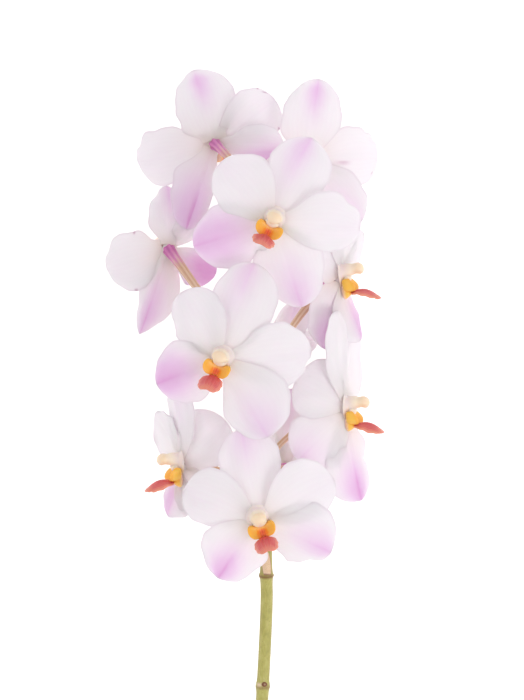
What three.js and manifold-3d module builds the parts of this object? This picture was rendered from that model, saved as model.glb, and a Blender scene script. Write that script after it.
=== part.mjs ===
// A cut vanda orchid stem: eleven blooms round one green stem, lying on a table.
// Millimetres. +X to the right of the spray, +Y along the stem towards its tip, +Z up from the
// table. The origin is on the table, under the middle of the spray's box. The pieces are made in
// the stem's own coordinates, whose zero is on the table in the middle of its flat cut end, and
// one group then sets them all in their place.
import * as THREE from "three";
import Module from "manifold-3d";

const wasm = await Module();
wasm.setup();
const { Manifold, Mesh: SolidMesh } = wasm;

// Driving dimensions
const GAP = 0.35; // clear space between neighbouring pieces
const STEM_END = [6.7, -195.6]; // the stem's own zero, from the middle of the spray

const BLADE = {
  thickness: 0.85,
  rows: 6, // cells from claw to tip
  columns: 4, // cells across
  rootOffset: 2.4, // how far from the heart a blade starts
  petalClaw: 0.15, // half-width at the claw, as a share of the widest half-width
  sepalClaw: 0.24,
  tipShare: 0.07, // half-width left at the very tip
};
const RECEPTACLE = { across: 3.9, deep: 2.3, behind: 2.4 };
const PETAL_BEHIND = 1.6; // how far behind the heart the petals and the sepals start
const SEPAL_BEHIND = 3.4;

const STEM = {
  sides: 8,
  radius: 2.85,
  tipRadius: 1.5,
  rest: 9, // the cut end lies flat on the table this far either side of zero
  top: 336,
  climb: 44, // how far the axis rises from the cut end to the middle of the spray
  levelFrom: 250,
  slimming: 0.25, // lost from the radius just above the cut end
  slimBy: 90,
  taperFrom: 200,
  nodeLength: 2.2,
};
const PEDICEL = {
  sides: 6,
  rings: 7,
  atFlower: 2.0,
  middle: 1.75,
  atStem: 1.9,
  hugs: 16, // it leaves the stem along it, aimed at a point this far ahead
  opens: 0.3, // and this share of the way out to its bloom
};

// The stem's axis: its x drifts a little, and it climbs from the table to the middle of the spray.
const STEM_AXIS = [
  [-0.2, -STEM.rest],
  [0.2, STEM.rest],
  [1.8, 42],
  [3.3, 70],
  [4.9, 101],
  [5.6, 121],
  [5.4, 134],
  [4.7, 173],
  [3.2, 226],
  [2.6, 278],
  [1.1, STEM.top],
];
const stemHeight = (y) => {
  const lowest = STEM.radius * Math.cos(Math.PI / STEM.sides);
  return lowest + STEM.climb * THREE.MathUtils.smoothstep(y, STEM.rest, STEM.levelFrom);
};
const STEM_NODES = [
  { y: 74.5, swell: 0.55 },
  { y: 133, swell: 0.5 },
  { y: 190, swell: 0.4 },
  { y: 224, swell: 0.35 },
  { y: 254, swell: 0.35 },
];

// Each tepal: its tip from the heart, its widest half-widths (first the side that is anticlockwise
// of it seen from above, then the other), where along it is widest, and how it bends: arch lifts
// its middle, curl its edges, wave ruffles them, and sway bows it sideways. faces is what its
// front looks at, where that isn't what the bloom looks at.
const BLOOMS = {
  top_left: {
    heart: [-22, 360.7, 23],
    face: [-0.12, 0.1, -0.98],
    up: [-0.27, 0.96, 0],
    stemY: 325,
    pull: 14,
    dorsal: { tip: [-11, 39, -7], half: [14.3, 18], wide: 0.52, arch: -1.5, curl: 1.5 },
    petal_l: { tip: [-40.5, -9, -22.8], half: [15, 16.3], wide: 0.64, arch: -7, curl: 0 },
    petal_r: { tip: [32, 23.5, -9], half: [15.5, 15], wide: 0.62, arch: -3, curl: 0 },
    sepal_l: { tip: [-14.7, -45.2, 8], half: [7.8, 14.3], wide: 0.6, arch: -1.5, curl: 2 },
    sepal_r: { tip: [36.8, -2.1, 1], half: [12, 8], wide: 0.6, arch: -1, curl: 1 },
  },
  top_right: {
    heart: [27.3, 352.8, 24],
    face: [0.08, 0.1, -0.99],
    up: [0.13, 0.99, 0],
    stemY: 317,
    pull: 14,
    dorsal: { tip: [5.8, 42, 2], half: [16.3, 14.4], wide: 0.5, arch: -1.5, curl: 1 },
    petal_l: { tip: [-26, -7, -16], half: [11, 8], wide: 0.6, arch: -4, curl: 0 },
    petal_r: { tip: [36.8, 1, -24], half: [18, 14], wide: 0.58, arch: -7, curl: 0 },
    sepal_l: { tip: [-12, -40, -4], half: [12, 12], wide: 0.58, arch: -1, curl: 2 },
    sepal_r: { tip: [27.8, -33.6, -3], half: [13, 13], wide: 0.6, arch: -1, curl: 2 },
  },
  upper_front: {
    heart: [8.9, 319.2, 84],
    face: [-0.12, -0.22, 0.97],
    up: [0.42, 0.9, 0],
    stemY: 286,
    pull: 16,
    dorsal: { tip: [20.5, 43.6, -8], half: [15, 17.5], wide: 0.64, arch: 1, curl: -1.5 },
    petal_l: { tip: [-27.3, 31, -4], half: [17.3, 19], wide: 0.56, arch: 2, curl: -1 },
    petal_r: { tip: [45.7, -3.2, -5], half: [18.5, 14], wide: 0.6, arch: 2, curl: -1 },
    sepal_l: { tip: [-41.5, -13.1, -14], half: [18.6, 17.6], wide: 0.5, arch: 0.5, curl: -2 },
    sepal_r: { tip: [15.2, -44.6, -16], half: [19.6, 14.4], wide: 0.52, arch: 0.5, curl: -2 },
  },
  left_back: {
    heart: [-47.3, 305, 27],
    face: [-0.3, -0.05, -0.95],
    up: [0, 1, 0],
    stemY: 226,
    pull: 9,
    bend: [3, -9, 0],
    dorsal: { tip: [0, 33.6, -12], half: [10, 10], wide: 0.55, arch: -1, curl: 2 },
    petal_l: { tip: [-31.5, -10, -8], half: [16, 15.5], wide: 0.56, arch: -4, curl: 0 },
    petal_r: { tip: [24.2, 19.4, -9], half: [10, 5], wide: 0.55, arch: -1, curl: 1 },
    sepal_l: { tip: [-14.2, -44.6, -5], half: [14.5, 7], wide: 0.5, arch: -1, curl: 4 },
    sepal_r: { tip: [25.7, -13.7, -3], half: [8, 9], wide: 0.55, arch: -1, curl: 2 },
  },
  upper_right: {
    heart: [45.2, 289.8, 47],
    face: [0.97, 0.12, 0.15],
    up: [-0.1, 1, 0],
    stemY: 230,
    pull: 12,
    bend: [0, -8, -9],
    dorsal: { tip: [7, 27, -4], half: [13, 13], wide: 0.6, curl: -2, faces: [0.9, -0.1, 0.42] },
    petal_l: { tip: [-12.6, 20, 10], half: [11, 11], wide: 0.6, curl: -1, faces: [0.5, 0, 0.86] },
    petal_r: { tip: [11.5, 23.5, -20], half: [11, 11], wide: 0.6, curl: -1, faces: [0.93, 0, 0.3] },
    sepal_l: {
      tip: [-9, -37.3, 0],
      half: [12, 14],
      wide: 0.55,
      claw: 0.1,
      curl: -5,
      faces: [0.6, 0, 0.8],
    },
    sepal_r: { tip: [10, -32.5, -14], half: [11, 13], wide: 0.5, curl: -3, faces: [0.8, 0.1, 0.5] },
  },
  middle_front: {
    heart: [-18.4, 246.8, 84],
    face: [-0.22, -0.24, 0.94],
    up: [0.36, 0.93, 0],
    stemY: 213,
    pull: 16,
    dorsal: { tip: [18.9, 48.3, -3], half: [16.7, 18.5], wide: 0.6, arch: 1, curl: -1.5 },
    petal_l: { tip: [-20, 35.7, -5], half: [15.5, 16.5], wide: 0.6, arch: 2, curl: -1 },
    petal_r: { tip: [47.3, 4.2, -6], half: [18, 17], wide: 0.64, arch: 2, curl: -1 },
    sepal_l: { tip: [-33.6, -12.6, -10], half: [15.8, 17.9], wide: 0.55, arch: 0.5, curl: -2 },
    sepal_r: { tip: [24.7, -40.4, -9], half: [24, 14.7], wide: 0.62, arch: 0.5, curl: -2 },
  },
  lower_right: {
    heart: [47.8, 220.5, 50],
    face: [0.97, 0.02, 0.22],
    up: [-0.05, 1, 0],
    stemY: 189,
    pull: 12,
    bend: [0, -4, -14],
    dorsal: { tip: [-5, 52, 6], half: [11.5, 12.5], wide: 0.6, curl: -2, faces: [0.85, 0.1, 0.5] },
    petal_l: {
      tip: [-27.3, 14.7, 6],
      half: [14.8, 18.5],
      wide: 0.6,
      claw: 0.1,
      arch: 3,
      curl: -2,
      faces: [0.2, 0.1, 0.97],
    },
    petal_r: { tip: [4.2, 47.3, -26], half: [14, 16], wide: 0.45, curl: -1, faces: [0.9, 0.4, 0.2] },
    sepal_l: {
      tip: [-25.7, -26.3, 3],
      half: [18, 17],
      wide: 0.6,
      claw: 0.12,
      arch: 2,
      curl: -2,
      faces: [0.2, -0.2, 0.95],
    },
    sepal_r: {
      tip: [7.6, -47.6, -13],
      half: [10, 17],
      wide: 0.65,
      arch: 1,
      curl: -3,
      faces: [0.55, -0.1, 0.8],
    },
  },
  lower_left: {
    heart: [-39.9, 191.1, 50],
    face: [-0.97, -0.06, 0.22],
    up: [0.02, 1, 0],
    stemY: 160,
    pull: 16,
    dorsal: { tip: [-2.6, 45.2, 2], half: [11, 13], wide: 0.7, curl: -2, faces: [-0.85, 0.1, 0.5] },
    petal_l: { tip: [-13.1, 27.8, -22], half: [12, 12], wide: 0.6, faces: [-0.9, 0.1, 0.3] },
    petal_r: {
      tip: [23.6, 24.2, 4],
      half: [16, 15],
      wide: 0.6,
      arch: 2,
      curl: -1,
      faces: [-0.2, 0.1, 0.97],
    },
    sepal_l: { tip: [-6.2, -26.8, -14], half: [12, 11], wide: 0.6, curl: -2, faces: [-0.75, 0, 0.66] },
    sepal_r: { tip: [9.5, -25.7, 0], half: [12, 12], wide: 0.6, curl: -2, faces: [-0.5, 0, 0.86] },
  },
  bottom_front: {
    heart: [1.6, 162.8, 70],
    face: [0.1, -0.3, 0.95],
    up: [-0.19, 0.98, 0],
    stemY: 135,
    pull: 12,
    dorsal: { tip: [-9.5, 47.8, -5], half: [15, 17.7], wide: 0.65, arch: 1, curl: -1.5 },
    petal_l: { tip: [-39.9, 14.7, -6], half: [12.5, 19], wide: 0.62, arch: 2, curl: -1 },
    petal_r: { tip: [39.4, 21, -6], half: [20.5, 13.5], wide: 0.6, arch: 2, curl: -1 },
    sepal_l: { tip: [-21.5, -30.3, -9], half: [15, 19.5], wide: 0.54, arch: 0.5, curl: -2 },
    sepal_r: { tip: [37.8, -16.8, -9], half: [20.5, 13.5], wide: 0.6, arch: 0.5, curl: -2 },
  },
  hidden_upper: {
    heart: [14.2, 251, 26],
    face: [0.35, 0.05, -0.93],
    up: [0.28, 0.96, 0],
    stemY: 204,
    pull: 8,
    bend: [-10, -6, 0],
    dorsal: { tip: [7.9, 27.3, -6], half: [9, 9], wide: 0.55, curl: 2 },
    petal_l: { tip: [-19, 5, -8], half: [10, 10], wide: 0.6, arch: -3 },
    petal_r: { tip: [17.3, 7.4, -6], half: [6, 6], wide: 0.6, arch: -2 },
    sepal_l: { tip: [-10.5, -24, -6], half: [9, 9], wide: 0.55, curl: 2 },
    sepal_r: { tip: [4, -17, -9], half: [7, 7], wide: 0.55, curl: 1 },
  },
  hidden_lower: {
    heart: [15.8, 188.5, 26],
    face: [0.15, -0.2, -0.96],
    up: [0.1, 0.99, 0],
    stemY: 163,
    pull: 8,
    dorsal: { tip: [2.6, 43, -2], half: [8, 8], wide: 0.6, curl: 2 },
    petal_l: { tip: [-9.5, 18, -6], half: [8, 7], wide: 0.6, arch: -2 },
    petal_r: { tip: [20, 12, -7], half: [10, 10], wide: 0.6, arch: -3 },
    sepal_l: { tip: [-12, -20, -6], half: [9, 9], wide: 0.55, curl: 1 },
    sepal_r: { tip: [12, -20, -6], half: [9, 9], wide: 0.55, curl: 1 },
  },
};

const COLOURS = {
  tepal: 0xf3e6f3,
  column: 0xf7e6c4,
  sideLobes: 0xfa9f1e,
  midlobe: 0xdf6148,
  pedicel: 0xe0b6a8,
  stem: 0xa9a352,
  bract: 0xd9b79a,
};

// Solids

// A closed solid from a list of corner points and a list of triangles that face outwards.
function solid(points, triangles) {
  return new Manifold(
    new SolidMesh({
      numProp: 3,
      vertProperties: new Float32Array(points.flatMap((p) => [p.x, p.y, p.z])),
      triVerts: new Uint32Array(triangles.flat()),
    }),
  );
}

// The same solid whichever way round its triangles were listed.
function facingOut(points, triangles) {
  const made = solid(points, triangles);
  return made.volume() > 0 ? made : solid(points, triangles.map(([a, b, c]) => [a, c, b]));
}

// Rings of points, one after another, joined and closed with a middle point at each end.
function loft(rings) {
  const sides = rings[0].length;
  const middle = (ring) =>
    ring.reduce((sum, p) => sum.add(p), new THREE.Vector3()).divideScalar(sides);
  const points = [...rings.flat(), middle(rings[0]), middle(rings[rings.length - 1])];
  const first = points.length - 2;
  const at = (ring, side) => ring * sides + (side % sides);
  const triangles = [];
  for (let side = 0; side < sides; side++) {
    for (let ring = 0; ring < rings.length - 1; ring++) {
      triangles.push([at(ring, side), at(ring, side + 1), at(ring + 1, side + 1)]);
      triangles.push([at(ring, side), at(ring + 1, side + 1), at(ring + 1, side)]);
    }
    triangles.push([first, at(0, side + 1), at(0, side)]);
    triangles.push([first + 1, at(rings.length - 1, side), at(rings.length - 1, side + 1)]);
  }
  return facingOut(points, triangles);
}

// A sheet with a front and a back grid of points, the same size, joined round the edge.
function sheet(front, back) {
  const [rows, columns] = [front.length, front[0].length];
  const points = [...front.flat(), ...back.flat()];
  const at = (face, row, column) => (face * rows + row) * columns + column;
  const triangles = [];
  for (let row = 0; row < rows - 1; row++) {
    for (let column = 0; column < columns - 1; column++) {
      for (const face of [0, 1]) {
        const [a, b] = [at(face, row, column), at(face, row, column + 1)];
        const [c, d] = [at(face, row + 1, column + 1), at(face, row + 1, column)];
        const pair = column < (columns - 1) / 2 ? [[a, b, c], [a, c, d]] : [[a, b, d], [b, c, d]];
        triangles.push(...(face ? pair : pair.map(([p, q, r]) => [p, r, q])));
      }
    }
  }
  const edge = [];
  for (let column = 0; column < columns; column++) edge.push([0, column]);
  for (let row = 1; row < rows; row++) edge.push([row, columns - 1]);
  for (let column = columns - 2; column >= 0; column--) edge.push([rows - 1, column]);
  for (let row = rows - 2; row > 0; row--) edge.push([row, 0]);
  edge.forEach((here, i) => {
    const next = edge[(i + 1) % edge.length];
    const [a, b] = [at(0, ...here), at(0, ...next)];
    const [c, d] = [at(1, ...next), at(1, ...here)];
    triangles.push([a, b, c], [a, c, d]);
  });
  return facingOut(points, triangles);
}

// The largest body of a solid, without the sealed hollows that joining leaves inside it.
function largestBody(made) {
  const bodies = made.simplify(0.06).decompose();
  return bodies.reduce((best, body) => (body.volume() > best.volume() ? body : best));
}

// One bloom

// The bloom's own axes: right, up and forwards, as columns of a matrix that stands at its heart.
function bloomFrame(bloom) {
  const forward = new THREE.Vector3(...bloom.face).normalize();
  const up = new THREE.Vector3(...bloom.up);
  up.addScaledVector(forward, -up.dot(forward)).normalize();
  const right = new THREE.Vector3().crossVectors(up, forward);
  const heart = new THREE.Vector3(...bloom.heart);
  return new THREE.Matrix4().makeBasis(right, up, forward).setPosition(heart);
}

// Half-width of a blade at u, as a share of its widest: a claw that opens, then a rounded end.
function bladeOutline(u, wide, claw) {
  if (u < wide) return claw + (1 - claw) * Math.sin((Math.PI / 2) * (u / wide)) ** 0.92;
  const past = (u - wide) / (1 - wide);
  return Math.max(BLADE.tipShare, (1 - past ** 2.3) ** 0.55);
}

function blade(bloom, tepal, isPetal) {
  const forward = new THREE.Vector3(...bloom.face).normalize();
  const heart = new THREE.Vector3(...bloom.heart);
  const tip = heart.clone().add(new THREE.Vector3(...tepal.tip));
  const root = heart.clone().addScaledVector(forward, -(isPetal ? PETAL_BEHIND : SEPAL_BEHIND));
  const along = tip.clone().sub(root);
  const outwards = along.clone().addScaledVector(forward, -along.dot(forward)).normalize();
  root.addScaledVector(outwards, BLADE.rootOffset);
  along.subVectors(tip, root).normalize();
  const normal = new THREE.Vector3(...(tepal.faces ?? bloom.face));
  normal.addScaledVector(along, -normal.dot(along)).normalize();
  const side = new THREE.Vector3().crossVectors(normal, along);
  if (side.dot(new THREE.Vector3(-along.y, along.x, 0)) < 0) side.negate();

  const claw = tepal.claw ?? (isPetal ? BLADE.petalClaw : BLADE.sepalClaw);
  const { arch = 0, curl = 0, sway = 0, wave = 0.6, wide } = tepal;
  const middle = (u, v) => {
    const share = bladeOutline(u, wide, claw);
    const half = (v > 0 ? tepal.half[0] : tepal.half[1]) * share;
    const bow = 4 * u * (1 - u);
    const lift = arch * bow + curl * share * v * v + wave * v * v * share * Math.sin(7 * u + 2 * v);
    return root
      .clone()
      .lerp(tip, u)
      .addScaledVector(side, v * half + sway * bow)
      .addScaledVector(normal, lift);
  };
  const step = 1e-3;
  const grids = [1, -1].map((face) =>
    Array.from({ length: BLADE.rows + 1 }, (_, row) =>
      Array.from({ length: BLADE.columns + 1 }, (_, column) => {
        const u = Math.sin((Math.PI / 2) * (row / BLADE.rows));
        const v = (2 * column) / BLADE.columns - 1;
        const here = middle(u, v);
        const inner = Math.min(u, 1 - 0.02);
        const ahead = middle(inner + step, v).sub(middle(inner, v));
        const across = middle(inner, v + step).sub(middle(inner, v - step));
        const out = across.cross(ahead).normalize();
        if (out.dot(normal) < 0) out.negate();
        return here.addScaledVector(out, (face * BLADE.thickness) / 2);
      }),
    ),
  );
  return sheet(...grids);
}

// A round body: rings along an axis, each with its own middle and two radii.
function turned(frame, sides, rings) {
  return loft(
    rings.map(([x, y, z, rx, ry]) =>
      Array.from({ length: sides }, (_, i) => {
        const turn = (2 * Math.PI * (i + 0.5)) / sides;
        const local = new THREE.Vector3(x + rx * Math.cos(turn), y + ry * Math.sin(turn), z);
        return local.applyMatrix4(frame);
      }),
    ),
  );
}

// The button where the tepals meet, in front of the pedicel.
const receptacle = (frame, grow = 0) => {
  const { across, deep, behind } = RECEPTACLE;
  const rings = [-0.92, -0.45, 0.2, 0.75].map((share) => {
    const radius = across * Math.sqrt(1 - share * share) + grow;
    return [0, 0, -behind + (deep + grow) * share, radius, radius];
  });
  return turned(frame, 8, rings);
};

// The column with its anther cap, leaning a little upwards. grow swells it for a clearance.
const column = (frame, grow = 0) =>
  turned(frame, 8, [
    [0, 0.6, GAP - grow, 3.3 + grow, 3.1 + grow],
    [0, 1.2, 3, 2.7 + grow, 2.6 + grow],
    [0, 2.2, 6, 2.8 + grow, 2.7 + grow],
    [0, 3.2, 8.2, 3.8 + grow, 3.6 + grow],
    [0, 3.4, 10, 3.5 + grow, 3.3 + grow],
    [0, 3.1, 11.4 + grow, 1.9 + grow, 1.8 + grow],
  ]);

// The lip's two upright side lobes, with the floor that joins them.
const sideLobes = (frame, grow = 0) => {
  const ear = (sign) =>
    turned(frame, 6, [
      [sign * 3.0, -4.6, 1.0 - grow, 1.6 + grow, 2.2 + grow],
      [sign * 3.7, -4.2, 3.2, 3.4 + grow, 4.1 + grow],
      [sign * 4.1, -4.0, 6.0, 3.6 + grow, 4.5 + grow],
      [sign * 4.4, -4.2, 8.0 + grow, 1.8 + grow, 2.6 + grow],
    ]);
  const floor = turned(frame, 5, [
    [0, -6.4, 0.6 - grow, 2.0 + grow, 1.9 + grow],
    [0, -6.6, 3.5, 3.6 + grow, 2.2 + grow],
    [0, -7.0, 7.2 + grow, 2.6 + grow, 1.5 + grow],
  ]);
  return largestBody(ear(-1).add(ear(1)).add(floor));
};

// The lip's tongue: narrow at its base, wide and notched in front, with a ridged top.
const MIDLOBE = {
  from: 3.2,
  to: 18.5,
  top: -9.3,
  droop: 1.2,
  thickness: 3.2,
  baseHalf: 2.3,
  half: 6.3,
  widestAt: 0.7,
  notch: 1.6,
};
const midlobe = (frame, grow = 0) => {
  const rows = 5;
  const columns = 4;
  const grid = (face) =>
    Array.from({ length: rows + 1 }, (_, row) =>
      Array.from({ length: columns + 1 }, (_, column) => {
        const u = row / rows;
        const v = (2 * column) / columns - 1;
        const { baseHalf, widestAt } = MIDLOBE;
        const opened = Math.sin((Math.PI / 2) * Math.min(1, u / widestAt)) ** 2;
        const half = baseHalf + (MIDLOBE.half - baseHalf) * opened;
        const past = Math.max(0, (u - widestAt) / (1 - widestAt));
        const end = 1 - 0.55 * past ** 2;
        const notch = u === 1 ? -MIDLOBE.notch * (1 - Math.abs(v)) : 0;
        const depth = face * (MIDLOBE.thickness * (1 - 0.45 * v * v) * (1 - 0.3 * u));
        const local = new THREE.Vector3(
          v * (half * end + grow),
          MIDLOBE.top - MIDLOBE.droop * u - (face ? depth + grow : -grow) + 0.9 * v * v,
          MIDLOBE.from - grow + (MIDLOBE.to - MIDLOBE.from + 2 * grow) * u + notch,
        );
        return local.applyMatrix4(frame);
      }),
    );
  return sheet(grid(0), grid(1));
};

// The stem and the pedicels

const stemCurve = new THREE.CatmullRomCurve3(
  STEM_AXIS.map(([x, y]) => new THREE.Vector3(x, y, stemHeight(y))),
);

function stemRadius(y) {
  const taper = THREE.MathUtils.smoothstep(y, STEM.taperFrom, STEM.top);
  const swell = STEM_NODES.reduce(
    (sum, node) => sum + node.swell * Math.exp(-(((y - node.y) / STEM.nodeLength) ** 2)),
    0,
  );
  const slim = STEM.slimming * THREE.MathUtils.smoothstep(y, STEM.rest, STEM.slimBy);
  return THREE.MathUtils.lerp(STEM.radius, STEM.tipRadius, taper) - slim + swell;
}

// Rings square to a path, each with a corner pair that stays level, so a flat side faces down.
function tube(points, radii, sides) {
  const level = new THREE.Vector3(0, 0, 1);
  return loft(
    points.map((point, i) => {
      const along = points[Math.min(i + 1, points.length - 1)]
        .clone()
        .sub(points[Math.max(i - 1, 0)])
        .normalize();
      const across = new THREE.Vector3().crossVectors(along, level).normalize();
      const up = new THREE.Vector3().crossVectors(across, along);
      return Array.from({ length: sides }, (_, k) => {
        const turn = (2 * Math.PI * (k + 0.5)) / sides - Math.PI / 2;
        return point
          .clone()
          .addScaledVector(across, radii[i] * Math.cos(turn))
          .addScaledVector(up, radii[i] * Math.sin(turn));
      });
    }),
  );
}

const STEM_STOPS = [-STEM.rest, STEM.rest, 30, 52, 71.5, 74.5, 77.5, 103, 129.5, 133, 136.5, 160]
  .concat([187, 190, 193, 221, 224, 227, 251, 254, 257, 282, 310, STEM.top]);

function stemSolid(grow = 0) {
  const points = STEM_STOPS.map((y) => stemPoint(y));
  // The resting length is straight and level, so that it lies flat.
  points[0].z = points[1].z = stemHeight(-STEM.rest);
  return tube(points, STEM_STOPS.map((y) => stemRadius(y) + grow), STEM.sides);
}

// The point of the stem's axis at a given y.
function stemPoint(y) {
  let [low, high] = [0, 1];
  for (let i = 0; i < 40; i++) {
    const mid = (low + high) / 2;
    if (stemCurve.getPoint(mid).y < y) low = mid;
    else high = mid;
  }
  return stemCurve.getPoint(low);
}

// A pedicel leaves the back of its bloom and bends round to the stem, which it meets from below.
function pedicel(bloom, frame) {
  const back = new THREE.Vector3(0, 0, -(RECEPTACLE.behind + RECEPTACLE.deep + GAP));
  const start = back.clone().applyMatrix4(frame);
  const leave = back
    .clone()
    .add(new THREE.Vector3(0, 0, -bloom.pull))
    .applyMatrix4(frame)
    .add(new THREE.Vector3(...(bloom.bend ?? [0, 0, 0])));
  const end = stemPoint(bloom.stemY);
  const arrive = stemPoint(bloom.stemY + PEDICEL.hugs).lerp(leave, PEDICEL.opens);
  const curve = new THREE.CubicBezierCurve3(start, leave, arrive, end);
  const points = curve.getPoints(PEDICEL.rings);
  const radii = points.map((_, i) => {
    const t = i / PEDICEL.rings;
    return t < 0.5
      ? THREE.MathUtils.lerp(PEDICEL.atFlower, PEDICEL.middle, 2 * t)
      : THREE.MathUtils.lerp(PEDICEL.middle, PEDICEL.atStem, 2 * t - 1);
  });
  return tube(points, radii, PEDICEL.sides);
}

// The papery bract of the lowest bloom: a cupped scale that stands off the stem in front of the
// pedicel. It is narrow at its foot, widest in the middle and cut off slantwise at its top.
const BRACT = {
  foot: 135.5,
  length: 13,
  half: 3.1,
  clear: 0.75,
  lean: 7.4,
  cup: 1.9, // how far its edges bend back round the stem
  slant: 2.2, // how much lower its top is on one side
  drift: 0.6,
  thickness: 0.7,
};
function bract() {
  const [rows, columns] = [5, 4];
  const grid = (face) =>
    Array.from({ length: rows + 1 }, (_, row) =>
      Array.from({ length: columns + 1 }, (_, column) => {
        const u = row / rows;
        const v = (2 * column) / columns - 1;
        const y = BRACT.foot + BRACT.length * u - BRACT.slant * u * v;
        const axis = stemPoint(y);
        const half = BRACT.half * (0.75 + 0.25 * Math.sin(Math.PI * u));
        const front = stemRadius(y) + BRACT.clear + BRACT.lean * u ** 1.3 - BRACT.cup * v * v;
        const aside = v * half - BRACT.drift * u;
        return axis.add(new THREE.Vector3(aside, 0, front + face * BRACT.thickness));
      }),
    );
  return sheet(grid(0), grid(1));
}

// Assembly

const root = new THREE.Group();
root.name = "vanda_orchid_stem";
const spray = new THREE.Group();
spray.position.set(...STEM_END, 0);
root.add(spray);

function addMesh(name, made, colour, roughness) {
  const { numProp, numVert, vertProperties, triVerts } = made.getMesh();
  const places = new Float32Array(numVert * 3);
  for (let i = 0; i < numVert; i++)
    places.set(vertProperties.subarray(i * numProp, i * numProp + 3), i * 3);
  const geometry = new THREE.BufferGeometry()
    .setAttribute("position", new THREE.BufferAttribute(places, 3))
    .setIndex(new THREE.BufferAttribute(triVerts, 1));
  geometry.computeVertexNormals();
  const material = new THREE.MeshStandardMaterial({ color: colour, roughness, metalness: 0 });
  const mesh = new THREE.Mesh(geometry, material);
  mesh.name = name;
  spray.add(mesh);
}

const stemClear = stemSolid(GAP);
addMesh("stem", stemSolid(), COLOURS.stem, 0.55);
addMesh("lowest_bract", bract(), COLOURS.bract, 0.7);

for (const [name, bloom] of Object.entries(BLOOMS)) {
  const frame = bloomFrame(bloom);
  let perianth = receptacle(frame);
  for (const part of ["dorsal", "sepal_l", "sepal_r"])
    perianth = perianth.add(blade(bloom, bloom[part], false));
  for (const part of ["petal_l", "petal_r"])
    perianth = perianth.add(blade(bloom, bloom[part], true));
  const clear = column(frame, GAP).add(sideLobes(frame, GAP)).add(midlobe(frame, GAP));
  perianth = perianth.subtract(clear).trimByPlane([0, 0, 1], 0);
  const lobes = sideLobes(frame).subtract(column(frame, GAP)).subtract(midlobe(frame, GAP));
  addMesh(name + "_perianth", largestBody(perianth), COLOURS.tepal, 0.6);
  addMesh(name + "_column", column(frame), COLOURS.column, 0.45);
  addMesh(name + "_side_lobes", largestBody(lobes), COLOURS.sideLobes, 0.45);
  addMesh(name + "_midlobe", midlobe(frame), COLOURS.midlobe, 0.5);
  const stalk = pedicel(bloom, frame).subtract(stemClear).subtract(receptacle(frame, GAP));
  addMesh(name + "_pedicel", largestBody(stalk), COLOURS.pedicel, 0.5);
}

export default root;
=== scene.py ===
"""A cut vanda orchid stem lying on a table, with eleven white and lilac blooms round it.

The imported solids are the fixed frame. Each bloom, pedicel, the stem and its bract get a finer
piece here, made from the same driving sizes and finished as the real plant is. Sizes are in
millimetres in the stem's own coordinates: zero is on the table in the middle of the flat cut
end, +Y runs along the stem to its tip and +Z points up. A mesh is turned to metres, and set in
its place in the frame, when its points are written.
"""

from __future__ import annotations

import logging
import math
from dataclasses import dataclass, field
from enum import Enum
from typing import Callable, Sequence

import bpy
import numpy as np
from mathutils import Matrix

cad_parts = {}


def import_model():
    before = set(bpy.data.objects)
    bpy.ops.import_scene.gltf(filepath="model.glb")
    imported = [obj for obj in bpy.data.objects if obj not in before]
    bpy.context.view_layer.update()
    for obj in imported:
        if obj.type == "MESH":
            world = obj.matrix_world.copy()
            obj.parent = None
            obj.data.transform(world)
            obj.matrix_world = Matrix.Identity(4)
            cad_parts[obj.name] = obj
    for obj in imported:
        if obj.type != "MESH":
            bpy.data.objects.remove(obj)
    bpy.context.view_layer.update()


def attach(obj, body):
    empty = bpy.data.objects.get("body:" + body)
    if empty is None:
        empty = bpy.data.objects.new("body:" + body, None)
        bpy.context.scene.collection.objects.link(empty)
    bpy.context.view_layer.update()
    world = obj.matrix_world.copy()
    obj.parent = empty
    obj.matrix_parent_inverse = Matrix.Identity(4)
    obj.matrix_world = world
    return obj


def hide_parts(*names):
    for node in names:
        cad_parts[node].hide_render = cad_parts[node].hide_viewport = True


log = logging.getLogger("orchid")

Vec = tuple[float, float, float]
Array = np.ndarray
Piece = bpy.types.Object
Material = bpy.types.Material
Tree = bpy.types.NodeTree
Socket = bpy.types.NodeSocket

MM = 0.001
STEM_END = np.array([6.7, -195.6, 0.0])  # the stem's own zero, from the middle of the spray
GAP = 0.35  # clear space between the solids of neighbouring pieces
BODY = "root"

# The photograph's frame: how large a pixel is, and where it lies in the stem's coordinates.
MM_PER_PIXEL = 0.525
PHOTO_SIZE = (524, 700)
ZERO_PIXEL = (256, 830)


# Numbers and vectors


def unit(vector: Sequence[float] | Array) -> Array:
    """Returns a vector turned to length one."""
    vector = np.asarray(vector, float)
    return vector / np.linalg.norm(vector)


def smoothstep(low: float, high: float, value: Array | float) -> Array:
    """A soft step from 0 at low to 1 at high.

    Args:
        low: Where the step starts.
        high: Where it ends.
        value: One number, or an array of them.

    Returns:
        The height of the step at each value.
    """
    share = np.clip((np.asarray(value, float) - low) / (high - low), 0.0, 1.0)
    return share * share * (3.0 - 2.0 * share)


def hump(value: Array, middle: float, width: float) -> Array:
    """A bell curve of height 1 round a middle."""
    return np.exp(-(((value - middle) / width) ** 2))


def through(stations: Array, share: Array) -> Array:
    """Points on a smooth curve through evenly spaced stations.

    Args:
        stations: One row for each station.
        share: How far along the curve each wanted point is, from 0 to 1.

    Returns:
        One row for each wanted point.
    """
    last = len(stations) - 1
    place = np.clip(share, 0.0, 1.0) * last
    index = np.clip(np.floor(place).astype(int), 0, last - 1)
    part = (place - index)[:, None]
    before, here = stations[np.maximum(index - 1, 0)], stations[index]
    ahead, after = stations[index + 1], stations[np.minimum(index + 2, last)]
    return 0.5 * (
        2 * here
        + (ahead - before) * part
        + (2 * before - 5 * here + 4 * ahead - after) * part**2
        + (3 * here - before - 3 * ahead + after) * part**3
    )


# Making and placing a mesh


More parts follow.
